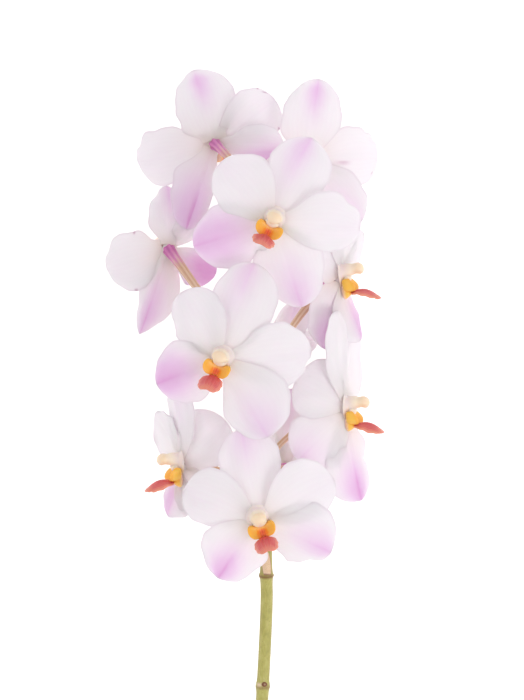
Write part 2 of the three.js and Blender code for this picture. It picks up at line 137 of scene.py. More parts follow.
def select(*pieces: Piece) -> None:
    """Selects these pieces and no others, and makes the first of them the active one."""
    bpy.ops.object.select_all(action="DESELECT")
    for piece in pieces:
        piece.select_set(True)
        bpy.context.view_layer.objects.active = pieces[0]


def start_grid(name: str, columns: int, rows: int) -> Piece:
    """Adds a flat grid from -1 to 1 both ways, to be bent into a blade.

    Args:
        name: The piece's name.
        columns: Cells across.
        rows: Cells along.

    Returns:
        The new object.
    """
    select()
    bpy.ops.mesh.primitive_grid_add(x_subdivisions=columns, y_subdivisions=rows, size=2)
    bpy.context.object.name = name
    return bpy.context.object


def start_ball(name: str, segments: int, rings: int) -> Piece:
    """Adds a ball of radius 1, to be drawn out into a round body or a stalk."""
    select()
    bpy.ops.mesh.primitive_uv_sphere_add(segments=segments, ring_count=rings, radius=1)
    bpy.context.object.name = name
    return bpy.context.object


def corners(piece: Piece) -> Array:
    """Returns a mesh's points, one row each."""
    points = np.zeros(len(piece.data.vertices) * 3)
    piece.data.vertices.foreach_get("co", points)
    return points.reshape(-1, 3)


def set_points(piece: Piece, points: Array) -> None:
    """Writes a mesh's points, given in millimetres in the stem's coordinates."""
    placed = (points + STEM_END) * MM
    placed[:, 2] = np.maximum(placed[:, 2], 0.0)
    piece.data.vertices.foreach_set("co", placed.ravel())
    piece.data.update()


def set_value(piece: Piece, name: str, values: Array | float) -> None:
    """Keeps one number for each point of a mesh, for its material to read.

    Args:
        piece: The mesh.
        name: The attribute's name.
        values: A number for each point, or one for all.
    """
    layer = piece.data.attributes.new(name, "FLOAT", "POINT")
    every = np.zeros(len(piece.data.vertices)) + values
    layer.data.foreach_set("value", np.clip(every, 0.0, 1.0))


def apply(piece: Piece, kind: str, **settings: object) -> None:
    """Adds a modifier to a piece and applies it.

    Args:
        piece: The piece.
        kind: The modifier's type.
        **settings: The modifier's own settings.
    """
    select(piece)
    modifier = piece.modifiers.new(kind.lower(), kind)
    for key, value in settings.items():
        setattr(modifier, key, value)
    bpy.ops.object.modifier_apply(modifier=modifier.name)


def thicken(piece: Piece, thickness: float, share: Array) -> None:
    """Gives a bent grid its thickness.

    Args:
        piece: The bent grid.
        thickness: The whole thickness, in millimetres.
        share: The share of it that each point gets.
    """
    group = piece.vertex_groups.new(name="thickness")
    for index, weight in enumerate(np.clip(share, 0.02, 1.0)):
        group.add([index], float(weight), "REPLACE")
    apply(
        piece,
        "SOLIDIFY",
        thickness=thickness * MM,
        offset=0.0,
        vertex_group=group.name,
        thickness_vertex_group=0.0,
    )
    piece.vertex_groups.clear()


def join(name: str, pieces: Sequence[Piece]) -> Piece:
    """Joins several meshes into one piece.

    Args:
        name: The new piece's name.
        pieces: The meshes, of which the first becomes the piece.

    Returns:
        The piece.
    """
    select(*pieces)
    bpy.ops.object.join()
    pieces[0].name = name
    pieces[0].data.name = name
    return pieces[0]


def dress(piece: Piece, node: str, material: Material, angle: float = 60.0) -> Piece:
    """Smooths a piece, gives it its material and lets it stand for the solid of one node.

    Args:
        piece: The finished piece.
        node: The solid that it stands for.
        material: The finish.
        angle: An edge sharper than this, in degrees, stays sharp.

    Returns:
        The piece.
    """
    select(piece)
    bpy.ops.object.shade_smooth_by_angle(angle=math.radians(angle))
    piece.data.materials.clear()
    piece.data.materials.append(material)
    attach(piece, BODY)
    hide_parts(node)
    log.info("%s: %d faces", piece.name, len(piece.data.polygons))
    return piece


def ball_places(piece: Piece, rings: int) -> tuple[Array, Array, Array]:
    """Where each point of a ball lies.

    Args:
        piece: The ball, as it was added.
        rings: The number of rings it was added with.

    Returns:
        How far along the axis each point is from 0 to 1, its angle round the axis, and 0 for
        the two poles or 1 elsewhere.
    """
    points = corners(piece)
    turn = np.arctan2(points[:, 1], points[:, 0])
    step = np.arccos(np.clip(-points[:, 2], -1.0, 1.0)) / math.pi * rings
    along = np.clip((step - 1.0) / (rings - 2.0), 0.0, 1.0)
    off_axis = ((step > 0.5) & (step < rings - 0.5)).astype(float)
    return along, turn, off_axis


# Materials

# A Mix node's two colour inputs, and the settings that make it mix colours.
A, B = 6, 7
COLOURS = {"out": 2, "data_type": "RGBA"}
STRIPED = {"out": "Fac", "wave_type": "BANDS", "bands_direction": "X"}


def linear(code: str) -> tuple[float, float, float, float]:
    """Turns an sRGB colour such as F6F1F4 to Blender's linear colour.

    Args:
        code: Six hex digits.

    Returns:
        Red, green, blue and an alpha of 1.
    """
    parts = [int(code[i : i + 2], 16) / 255 for i in (0, 2, 4)]
    r, g, b = (p / 12.92 if p <= 0.04045 else ((p + 0.055) / 1.055) ** 2.4 for p in parts)
    return r, g, b, 1.0


def per_mm(size: float) -> float:
    """The scale of a noise whose features are this many millimetres across."""
    return 1.0 / (size * MM)


def bands(count: float) -> float:
    """The scale of a wave that has this many bands over a UV map."""
    return count * 2 * math.pi / 20


def feed(node: bpy.types.Node, inputs: dict[str | int, object]) -> None:
    """Sets some of a node's inputs.

    Args:
        node: The node.
        inputs: For each input, a socket that feeds it, an sRGB colour or a plain value.
    """
    for key, value in inputs.items():
        if isinstance(value, Socket):
            node.id_data.links.new(value, node.inputs[key])
        else:
            node.inputs[key].default_value = linear(value) if isinstance(value, str) else value


def add(
    tree: Tree,
    kind: str,
    inputs: dict[str | int, object] | None = None,
    out: str | int = 0,
    stops: Sequence[tuple[float, str]] = (),
    **settings: object,
) -> Socket:
    """Adds a node to a material.

    Args:
        tree: The material's node tree.
        kind: The node's type, without the word ShaderNode.
        inputs: For each input, a socket that feeds it, an sRGB colour or a plain value.
        out: Which output is wanted.
        stops: A colour ramp's places from 0 to 1, each with its colour.
        **settings: The node's own settings.

    Returns:
        The wanted output socket.
    """
    node = tree.nodes.new("ShaderNode" + kind)
    for key, value in settings.items():
        setattr(node, key, value)
    feed(node, inputs or {})
    if stops:
        band = node.color_ramp.elements
        while len(band) < len(stops):
            band.new(0.5)
        for element, (place, code) in zip(band, stops):
            element.position = place
            element.color = linear(code)
    return node.outputs[out]


@dataclass(frozen=True)
class Finish:
    """What every finish of the plant has: a shine, light under its skin and a fine relief."""

    label: str = ""
    reads: tuple[str, ...] = ()  # the attributes of the mesh that it reads
    roughness: float = 0.5
    scatter: float = 0.0  # how much of the light goes under the skin
    scatter_colour: Vec = (1.0, 1.0, 1.0)  # how far its red, green and blue go there
    scatter_depth: float = 1.0  # millimetres
    relief: float = 0.2
    relief_depth: float = 0.1  # millimetres
    grain: float = 1.5  # millimetres
    grain_detail: float = 3.0
    mottling: float = 0.12

    def skin(self, tree: Tree, place: Socket, *values: Socket) -> tuple[Socket, Socket]:
        """Adds the nodes of the skin's own pattern.

        Args:
            tree: The material's node tree.
            place: The Object coordinates.
            *values: The attributes that it reads.

        Returns:
            The colour, and the height of the relief.
        """
        raise NotImplementedError

    def mottled(self, tree: Tree, place: Socket, colour: Socket) -> tuple[Socket, Socket]:
        """Mottles a colour with a soft grain.

        Args:
            tree: The material's node tree.
            place: The Object coordinates.
            colour: The plain colour.

        Returns:
            The mottled colour, and the grain's height.
        """
        look = {"Vector": place, "Scale": per_mm(self.grain), "Detail": self.grain_detail}
        grain = add(tree, "TexNoise", look, "Color")
        mix = {"Factor": self.mottling, A: colour, B: grain}
        mixed = add(tree, "Mix", mix, blend_type="SOFT_LIGHT", **COLOURS)
        return mixed, grain.node.outputs["Fac"]

    def material(self) -> Material:
        """Builds the material."""
        material = bpy.data.materials.new(self.label)
        material.use_nodes = True
        tree = material.node_tree
        place = add(tree, "TexCoord", out="Object")
        values = [add(tree, "Attribute", out="Fac", attribute_name=name) for name in self.reads]
        colour, height = self.skin(tree, place, *values)
        depth = self.relief_depth * MM
        bump = {"Height": height, "Strength": self.relief, "Distance": depth}
        surface = {
            "Base Color": colour,
            "Normal": add(tree, "Bump", bump),
            "Roughness": self.roughness,
            "Subsurface Weight": self.scatter,
            "Subsurface Radius": self.scatter_colour,
            "Subsurface Scale": self.scatter_depth * MM,
        }
        feed(tree.nodes["Principled BSDF"], surface)
        return material


@dataclass(frozen=True)
class PetalTissue(Finish):
    """Fresh orchid petal: waxy, thick, slightly translucent, with fine veins under its skin.

    The light that goes through it and comes out again gives it its glow, the wax a soft shine,
    and the air between its cells the white. Lilac colour lies in a wedge at the tip.
    """

    label: str = "waxy_petal_tissue"
    reads: tuple[str, ...] = ("flush", "claw", "rim", "bruise")
    roughness: float = 0.55
    scatter: float = 0.35
    scatter_colour: Vec = (1.0, 0.75, 0.9)
    scatter_depth: float = 1.2
    relief: float = 0.12
    relief_depth: float = 0.05
    white: str = "FDFAFE"
    lilac: str = "F1D0F1"
    magenta: str = "E5A4DF"
    cream: str = "FBEBDD"
    vein: str = "D9BFD6"
    # a greyer pink laid along the edges as painted shade
    margin: str = "DCCDD8"
    bruise: str = "A65C8C"
    through: str = "FFFAFD"  # the light that comes through it
    see_through: float = 0.32
    ior: float = 1.4
    vein_count: float = 17.0
    vein_share: float = 0.035
    painted_edge_shade: float = 0.4
    mottle: float = 5.0  # millimetres
    mottle_range: tuple[float, float] = (0.82, 1.18)
    cells: float = 0.35  # millimetres, coarser than the real cells so that they show

    def skin(self, tree: Tree, place: Socket, *values: Socket) -> tuple[Socket, Socket]:
        """Lays the lilac, the cream claw, the veins, the painted shade of the margin and the
        bruises on the white.
        """
        flush, claw, rim, bruise = values
        patches = add(
            tree, "TexNoise", {"Vector": place, "Scale": per_mm(self.mottle), "Detail": 3.0}
        )
        low, high = self.mottle_range
        uneven = add(tree, "MapRange", {"Value": patches, "To Min": low, "To Max": high})
        amount = add(tree, "Math", {0: flush, 1: uneven}, operation="MULTIPLY", use_clamp=True)
        wave = {
            "Vector": add(tree, "UVMap", uv_map="UVMap"),
            "Scale": bands(self.vein_count),
            "Distortion": 1.2,
            "Detail": 2.0,
            "Detail Scale": 1.5,
        }
        veins = add(tree, "TexWave", wave, **STRIPED)
        faint = add(tree, "MapRange", {"Value": veins, "To Max": self.vein_share})
        edge = add(tree, "Math", {0: rim, 1: self.painted_edge_shade}, operation="MULTIPLY")
        stops = [(0.0, self.white), (0.5, self.lilac), (1.0, self.magenta)]
        colour = add(tree, "ValToRGB", {"Fac": amount}, stops=stops)
        layers = (
            (claw, self.cream), (faint, self.vein), (edge, self.margin), (bruise, self.bruise)
        )
        for share, layer in layers:
            colour = add(tree, "Mix", {"Factor": share, A: colour, B: layer}, **COLOURS)
        return colour, veins

    def material(self) -> Material:
        """Builds the material, with its fine cells and the light that comes through."""
        material = super().material()
        tree = material.node_tree
        shader = tree.nodes["Principled BSDF"]
        bump = shader.inputs["Normal"].links[0].from_node
        place = add(tree, "TexCoord", out="Object")
        cells = add(tree, "TexNoise", {"Vector": place, "Scale": per_mm(self.cells)})
        depth = self.relief_depth * MM
        fine = {"Height": cells, "Strength": self.relief, "Distance": depth}
        feed(bump, {"Normal": add(tree, "Bump", fine)})
        feed(shader, {"IOR": self.ior})
        thin = add(tree, "BsdfTranslucent", {"Color": self.through})
        both = {0: self.see_through, 1: shader.outputs["BSDF"], 2: thin}
        feed(tree.nodes["Material Output"], {"Surface": add(tree, "MixShader", both)})
        return material


@dataclass(frozen=True)
class ColumnWax(Finish):
    """The flower's column: smooth, dense, waxy cream tissue with a yellower cap."""

    label: str = "waxy_column"
    reads: tuple[str, ...] = ("along",)
    roughness: float = 0.4
    scatter: float = 0.4
    scatter_colour: Vec = (1.0, 0.8, 0.5)
    scatter_depth: float = 1.5
    relief: float = 0.25
    grain: float = 1.2
    grain_detail: float = 4.0
    base: str = "F2E1DD"
    body: str = "FCEBD6"
    cap: str = "FBE0C2"

    def skin(self, tree: Tree, place: Socket, *values: Socket) -> tuple[Socket, Socket]:
        """Goes from the pale foot to the yellower cap."""
        stops = [(0.0, self.base), (0.4, self.base), (0.62, self.body), (0.84, self.cap)]
        colour = add(tree, "ValToRGB", {"Fac": values[0]}, stops=stops)
        return self.mottled(tree, place, colour)


@dataclass(frozen=True)
class LobeWax(Finish):
    """The lip's cup: glossy orange-yellow lobes, orange-red and striped in the throat."""

    label: str = "waxy_lip_lobes"
    reads: tuple[str, ...] = ("throat", "stripes", "foot")
    roughness: float = 0.38
    scatter: float = 0.3
    scatter_colour: Vec = (1.0, 0.5, 0.15)
    scatter_depth: float = 1.2
    yellow: str = "FFC64E"
    orange: str = "FF9E34"
    red: str = "F0704A"
    stripe: str = "CF3D36"
    outside: str = "FFCF7A"
    salmon: str = "F3C9B0"

    def skin(self, tree: Tree, place: Socket, *values: Socket) -> tuple[Socket, Socket]:
        """Lays the stripes on the orange, and the salmon foot over both."""
        throat, stripes, foot = values
        stops = [(0.0, self.yellow), (0.45, self.orange), (1.0, self.red)]
        colour = add(tree, "ValToRGB", {"Fac": throat}, stops=stops)
        colour = add(tree, "Mix", {"Factor": stripes, A: colour, B: self.stripe}, **COLOURS)
        pale = [(0.0, self.outside), (1.0, self.salmon)]
        pale = add(tree, "ValToRGB", {"Fac": foot}, stops=pale)
        edge = add(tree, "MapRange", {"Value": foot, "From Max": 0.35})
        colour = add(tree, "Mix", {"Factor": edge, A: colour, B: pale}, **COLOURS)
        return self.mottled(tree, place, colour)


@dataclass(frozen=True)
class MidlobeFlesh(Finish):
    """The lip's midlobe: firm coral-red flesh, ridged on top and salmon at its margins."""

    label: str = "ridged_lip_flesh"
    reads: tuple[str, ...] = ("rim",)
    roughness: float = 0.45
    scatter: float = 0.2
    scatter_colour: Vec = (1.0, 0.3, 0.2)
    scatter_depth: float = 0.9
    relief: float = 0.35
    relief_depth: float = 0.15
    grain: float = 1.6
    mottling: float = 0.15
    deep: str = "D44A50"
    coral: str = "DF6A66"
    salmon: str = "EF9C82"
    streak_count: float = 14.0

    def skin(self, tree: Tree, place: Socket, *values: Socket) -> tuple[Socket, Socket]:
        """Goes from the deep ridge to the salmon margin, with fine streaks."""
        sheet = add(tree, "UVMap", uv_map="UVMap")
        wave = {"Vector": sheet, "Scale": bands(self.streak_count), "Distortion": 2.0}
        streaks = add(tree, "TexWave", {**wave, "Detail": 2.0}, **STRIPED)
        nudge = {0: streaks, 1: 0.16, 2: values[0]}
        nudged = add(tree, "Math", nudge, operation="MULTIPLY_ADD", use_clamp=True)
        stops = [(0.05, self.deep), (0.6, self.coral), (1.0, self.salmon)]
        colour = add(tree, "ValToRGB", {"Fac": nudged}, stops=stops)
        return self.mottled(tree, place, colour)[0], streaks


@dataclass(frozen=True)
class PedicelSkin(Finish):
    """The flower stalk: fine ridges with painted shade in their grooves, magenta-pink under the
    flower and beige at the stem.
    """

    label: str = "ridged_flower_stalk"
    reads: tuple[str, ...] = ("along", "groove")
    scatter: float = 0.2
    scatter_colour: Vec = (1.0, 0.5, 0.4)
    relief: float = 0.3
    relief_depth: float = 0.15
    grain: float = 2.5
    magenta: str = "D67FB8"
    pink: str = "E3B0BE"
    beige: str = "E3C3A8"
    cream: str = "F0DBC0"
    # plum, brown and tan: the stalk's colours made darker, as painted shade in the grooves
    plum: str = "BC62A0"
    brown: str = "CFA184"
    tan: str = "DDBB96"

    def skin(self, tree: Tree, place: Socket, *values: Socket) -> tuple[Socket, Socket]:
        """Goes from magenta to cream, with painted shade darkening the grooves."""
        along, groove = values
        look = {"Vector": place, "Scale": per_mm(self.grain), "Detail": 4.0}
        grain = add(tree, "TexNoise", look)
        shifted = add(tree, "Math", {0: grain, 1: 0.14, 2: along}, operation="MULTIPLY_ADD")
        crest = [(0.18, self.magenta), (0.3, self.pink), (0.42, self.beige), (1.0, self.cream)]
        groove_shade = [(0.18, self.plum), (0.3, self.magenta), (0.44, self.brown), (1.0, self.tan)]
        crest, groove_shade = (
            add(tree, "ValToRGB", {"Fac": shifted}, stops=stops) for stops in (crest, groove_shade)
        )
        return add(tree, "Mix", {"Factor": groove, A: crest, B: groove_shade}, **COLOURS), grain


@dataclass(frozen=True)
class StemSkin(Finish):
    """The cut stem: matt green skin with faint fibres, brown joint scars, painted flank shade and
    a painted bud highlight.
    """

    label: str = "green_stem_skin"
    reads: tuple[str, ...] = ("scar_and_shade", "dry_skin_and_highlight")
    scatter: float = 0.08
    scatter_colour: Vec = (0.5, 1.0, 0.2)
    scatter_depth: float = 0.8
    relief: float = 0.35
    relief_depth: float = 0.12
    green: str = "B7B060"
    light: str = "CBC47E"
    dull: str = "9F9852"
    fleck: str = "7C6A35"
    # the brown of the joint scars, also laid thinly along the flanks as painted shade
    scar_and_shade: str = "7C4A2E"
    # pale dry skin, also used for the bud's painted highlight
    dry_skin_and_highlight: str = "E8CFAF"
    fibre: float = 0.8  # millimetres
    patch: float = 7.0  # millimetres
    speck: float = 0.9  # millimetres

    def skin(self, tree: Tree, place: Socket, *values: Socket) -> tuple[Socket, Socket]:
        """Draws fibres, patches and flecks on the green, then the scars, the painted flank shade,
        the dry skin and the bud's painted highlight.
        """
        scar_and_shade, dry_skin_and_highlight = values
        drawn = add(tree, "Mapping", {"Vector": place, "Scale": (1.0, 0.06, 1.0)})
        noises = ((drawn, self.fibre, 4.0), (place, self.patch, 3.0), (place, self.speck, 1.0))
        fibres, patches, specks = (
            add(tree, "TexNoise", {"Vector": vector, "Scale": per_mm(size), "Detail": detail})
            for vector, size, detail in noises
        )
        both = add(tree, "Math", {0: fibres, 1: patches}, operation="ADD")
        half = add(tree, "Math", {0: both, 1: 0.5}, operation="MULTIPLY")
        stops = [(0.28, self.dull), (0.5, self.green), (0.74, self.light)]
        colour = add(tree, "ValToRGB", {"Fac": half}, stops=stops)
        few = {"Value": specks, "From Min": 0.68, "From Max": 0.76, "To Max": 0.5}
        layers = ((add(tree, "MapRange", few), self.fleck), (scar_and_shade, self.scar_and_shade), (dry_skin_and_highlight, self.dry_skin_and_highlight))
        for share, layer in layers:
            colour = add(tree, "Mix", {"Factor": share, A: colour, B: layer}, **COLOURS)
        return colour, fibres


@dataclass(frozen=True)
class BractPaper(Finish):
    """A dried bract: thin beige papery skin with lengthwise fibres."""

    label: str = "dry_papery_bract"
    reads: tuple[str, ...] = ("rim",)
    roughness: float = 0.75
    relief: float = 0.5
    beige: str = "DDB995"
    pale: str = "EBCDAE"
    brown: str = "8A6040"
    fibre: float = 0.5  # millimetres

    def skin(self, tree: Tree, place: Socket, *values: Socket) -> tuple[Socket, Socket]:
        """Draws the fibres, and browns the edges."""
        drawn = add(tree, "Mapping", {"Vector": place, "Scale": (1.0, 0.12, 1.0)})
        look = {"Vector": drawn, "Scale": per_mm(self.fibre), "Detail": 3.0}
        fibres = add(tree, "TexNoise", look)
        stops = [(0.35, self.beige), (0.65, self.pale)]
        colour = add(tree, "ValToRGB", {"Fac": fibres}, stops=stops)
        mix = {"Factor": values[0], A: colour, B: self.brown}
        return add(tree, "Mix", mix, **COLOURS), fibres


@dataclass(frozen=True)
class StudioBoard:
    """The floor: matt white board, so pale that it shows almost no shade."""

    white: str = "F7F7F7"
    glow: float = 0.5

    def material(self) -> Material:
        """Builds the material."""
        material = bpy.data.materials.new("white_studio_board")
        material.use_nodes = True
        surface = {
            "Base Color": self.white,
            "Roughness": 0.9,
            "Emission Color": (1.0, 1.0, 1.0, 1.0),
            "Emission Strength": self.glow,
        }
        feed(material.node_tree.nodes["Principled BSDF"], surface)
        return material


@dataclass
class Finishes:
    """Every finish of the spray, built once."""

    petal: Material = field(default_factory=PetalTissue().material)
    column: Material = field(default_factory=ColumnWax().material)
    lobes: Material = field(default_factory=LobeWax().material)
    midlobe: Material = field(default_factory=MidlobeFlesh().material)
    pedicel: Material = field(default_factory=PedicelSkin().material)
    stem: Material = field(default_factory=StemSkin().material)
    bract: Material = field(default_factory=BractPaper().material)


# The stem


def sweep(
    piece: Piece,
    curve: Callable[[Array], Array],
    t: Array,
    step: float,
    turn: Array,
    radius: Array,
) -> None:
    """Sets a ball's points round a curve, as the skin of a stalk.

    Args:
        piece: The ball.
        curve: Gives the points of the stalk's axis.
        t: Where on the curve each point is.
        step: A small step on the curve, which shows its direction.
        turn: The angle of each point round the axis.
        radius: Its distance from the axis.
    """
    ahead = curve(t + step) - curve(t - step)
    ahead /= np.linalg.norm(ahead, axis=1)[:, None]
    across = np.cross(ahead, [0.0, 0.0, 1.0])
    across /= np.linalg.norm(across, axis=1)[:, None]
    up = np.cross(across, ahead)
    outwards = np.cos(turn)[:, None] * across + np.sin(turn)[:, None] * up
    set_points(piece, curve(t) + radius[:, None] * outwards)


@dataclass
class Stem:
    """The stem: round, with joints, flat on the table at its cut end and then climbing."""

    axis: tuple[tuple[float, float], ...] = (
        (-0.2, -9), (0.2, 9), (1.8, 42), (3.3, 70), (4.9, 101), (5.6, 121),
        (5.4, 134), (4.7, 173), (3.2, 226), (2.6, 278), (1.1, 336),
    )
    rest: float = 9.0
    top: float = 336.0
    radius: float = 2.85
    tip_radius: float = 1.5
    low_sides: int = 8  # the solid's sides, whose flat one lies on the table
    climb: float = 44.0
    level_from: float = 250.0
    fuller: float = 0.4  # how much thicker it is once it has left the table
    full_by: float = 60.0
    taper_from: float = 200.0
    joints: tuple[tuple[float, float], ...] = (  # where each is, and its swelling
        (74.5, 0.55), (133, 0.5), (190, 0.4), (224, 0.35), (254, 0.35),
    )
    joint_length: float = 2.2
    ridge: float = 0.32  # the lip above each joint's ring
    groove: float = 0.22
    rib_count: int = 9
    rib: float = 0.012
    bud: Vec = (1.5, 1.3, 0.9)
    bud_place: Vec = (0.85, 0.9, 0.0)
    segments: int = 48
    rings: int = 230

    def height(self, y: Array) -> Array:
        """The axis's height over the table at each y."""
        lowest = self.radius * math.cos(math.pi / self.low_sides)
        return lowest + self.climb * smoothstep(self.rest, self.level_from, y)

    def points(self, y: Array) -> Array:
        """The axis's points at each y."""
        y = np.atleast_1d(np.asarray(y, float))
        curve = through(np.array(self.axis), np.linspace(0.0, 1.0, 1200))
        x = np.interp(y, curve[:, 1], curve[:, 0])
        return np.stack([x, y, self.height(y)], axis=1)

    def radius_at(self, y: Array) -> Array:
        """The stem's radius at each y, with its joints' swelling."""
        y = np.asarray(y, float)
        taper = smoothstep(self.taper_from, self.top, y)
        swell = sum(size * hump(y, at, self.joint_length) for at, size in self.joints)
        full = self.fuller * smoothstep(self.rest, self.full_by, y)
        return self.radius + (self.tip_radius - self.radius) * taper + full + swell

    def build_bud(self) -> Piece:
        """Builds the small dry bud on the front of the lowest joint, with a painted highlight on
        its top.
        """
        bud = start_ball("dry_bud", 20, 12)
        aside, ahead, lift = self.bud_place
        at = self.joints[0][0] + ahead
        middle = self.points(at)[0] + (aside, 0.0, lift + float(self.radius_at(at)))
        points = corners(bud)
        set_points(bud, points * self.bud + middle)
        # painted highlight: a pale spot on the top of the bud, a little to the right, in the dry
        # skin's colour
        heart = hump(points[:, 0], 0.1, 0.3) * hump(points[:, 1], 0.0, 0.4)
        set_value(bud, "scar_and_shade", 1.0)
        set_value(bud, "dry_skin_and_highlight", 0.5 * heart * np.clip(points[:, 2], 0.0, 1.0))
        return bud

    def build(self, finish: Material) -> Piece:
        """Draws a ball out along the axis, and sets the bud on it.

        Args:
            finish: The stem's material.

        Returns:
            The finished piece.
        """
        piece = start_ball("green_stem", self.segments, self.rings)
        along, turn, off_axis = ball_places(piece, self.rings)
        y = -self.rest + (self.top + self.rest) * along
        ends = 0.86 + 0.14 * smoothstep(0.0, 0.004, along) * smoothstep(1.0, 0.985, along)
        ribs = 1.0 + self.rib * np.cos(self.rib_count * turn) * smoothstep(0.0, 0.02, along)
        collar = sum(
            self.ridge * hump(y, at + 0.3, 0.55) - self.groove * hump(y, at - 0.9, 0.5)
            for at, _ in self.joints
        )
        radius = (self.radius_at(y) * ribs + collar) * ends * off_axis
        sweep(piece, self.points, y, 0.5, turn, radius)
        scar_and_shade = 0.85 * sum(hump(y, at + 0.2, 0.75) for at, _ in self.joints)
        # painted shade: the scar brown laid thinly along both flanks, where the stem's sides turn
        # from the light
        painted_flank_shade = 0.28 * smoothstep(0.72, 1.0, np.abs(np.cos(turn))) * off_axis
        husk = 1.2 * hump(y, self.joints[0][0] + 1.1, 0.8) * hump(turn, 2.15, 0.45)
        cut = 0.6 * (1.0 - smoothstep(0.0, 0.003, along))
        set_value(piece, "scar_and_shade", np.maximum(scar_and_shade, painted_flank_shade) - husk)
        set_value(piece, "dry_skin_and_highlight", np.maximum(cut, husk))
        piece = join("green_stem", [piece, self.build_bud()])
        return dress(piece, "stem", finish, 50)


@dataclass
class Bract:
    """The papery bract of the lowest bloom, in front of its pedicel."""

    foot: float = 133.4
    length: float = 14.0
    half: float = 2.4
    clear: float = 0.75
    lean: float = 7.4
    cup: float = 1.9
    slant: float = 2.2
    drift: float = 0.9
    aside: float = 0.45
    crinkle: float = 0.12
    thickness: float = 0.55

    def build(self, stem: Stem, finish: Material) -> Piece:
        """Bends a grid round the front of the stem.

        Args:
            stem: The stem it grows from.
            finish: The bract's material.

        Returns:
            The finished piece.
        """
        piece = start_grid("papery_bract", 24, 40)
        flat = corners(piece)
        v, u = flat[:, 0], (flat[:, 1] + 1) / 2
        y = self.foot + self.length * u - self.slant * u * v
        half = self.half * (0.75 + 0.25 * np.sin(math.pi * u))
        front = stem.radius_at(y) + self.clear + self.lean * u**1.3 - self.cup * v**2
        front = front + self.crinkle * np.sin(9 * v + 2 * u) + self.thickness / 2
        points = stem.points(y)
        points[:, 0] += self.aside + v * half - self.drift * u
        points[:, 2] += front
        set_points(piece, points)
        rim = np.maximum(smoothstep(0.1, 0.0, u), smoothstep(0.8, 1.0, np.abs(v)))
        set_value(piece, "rim", rim)
        thicken(piece, self.thickness, np.ones(len(u)))
        return dress(piece, "lowest_bract", finish, 50)


# One bloom


class Blade(Enum):
    """The two kinds of tepal, with how far behind the heart it starts and its claw's share."""

    PETAL = (1.6, 0.15)
    SEPAL = (3.4, 0.24)


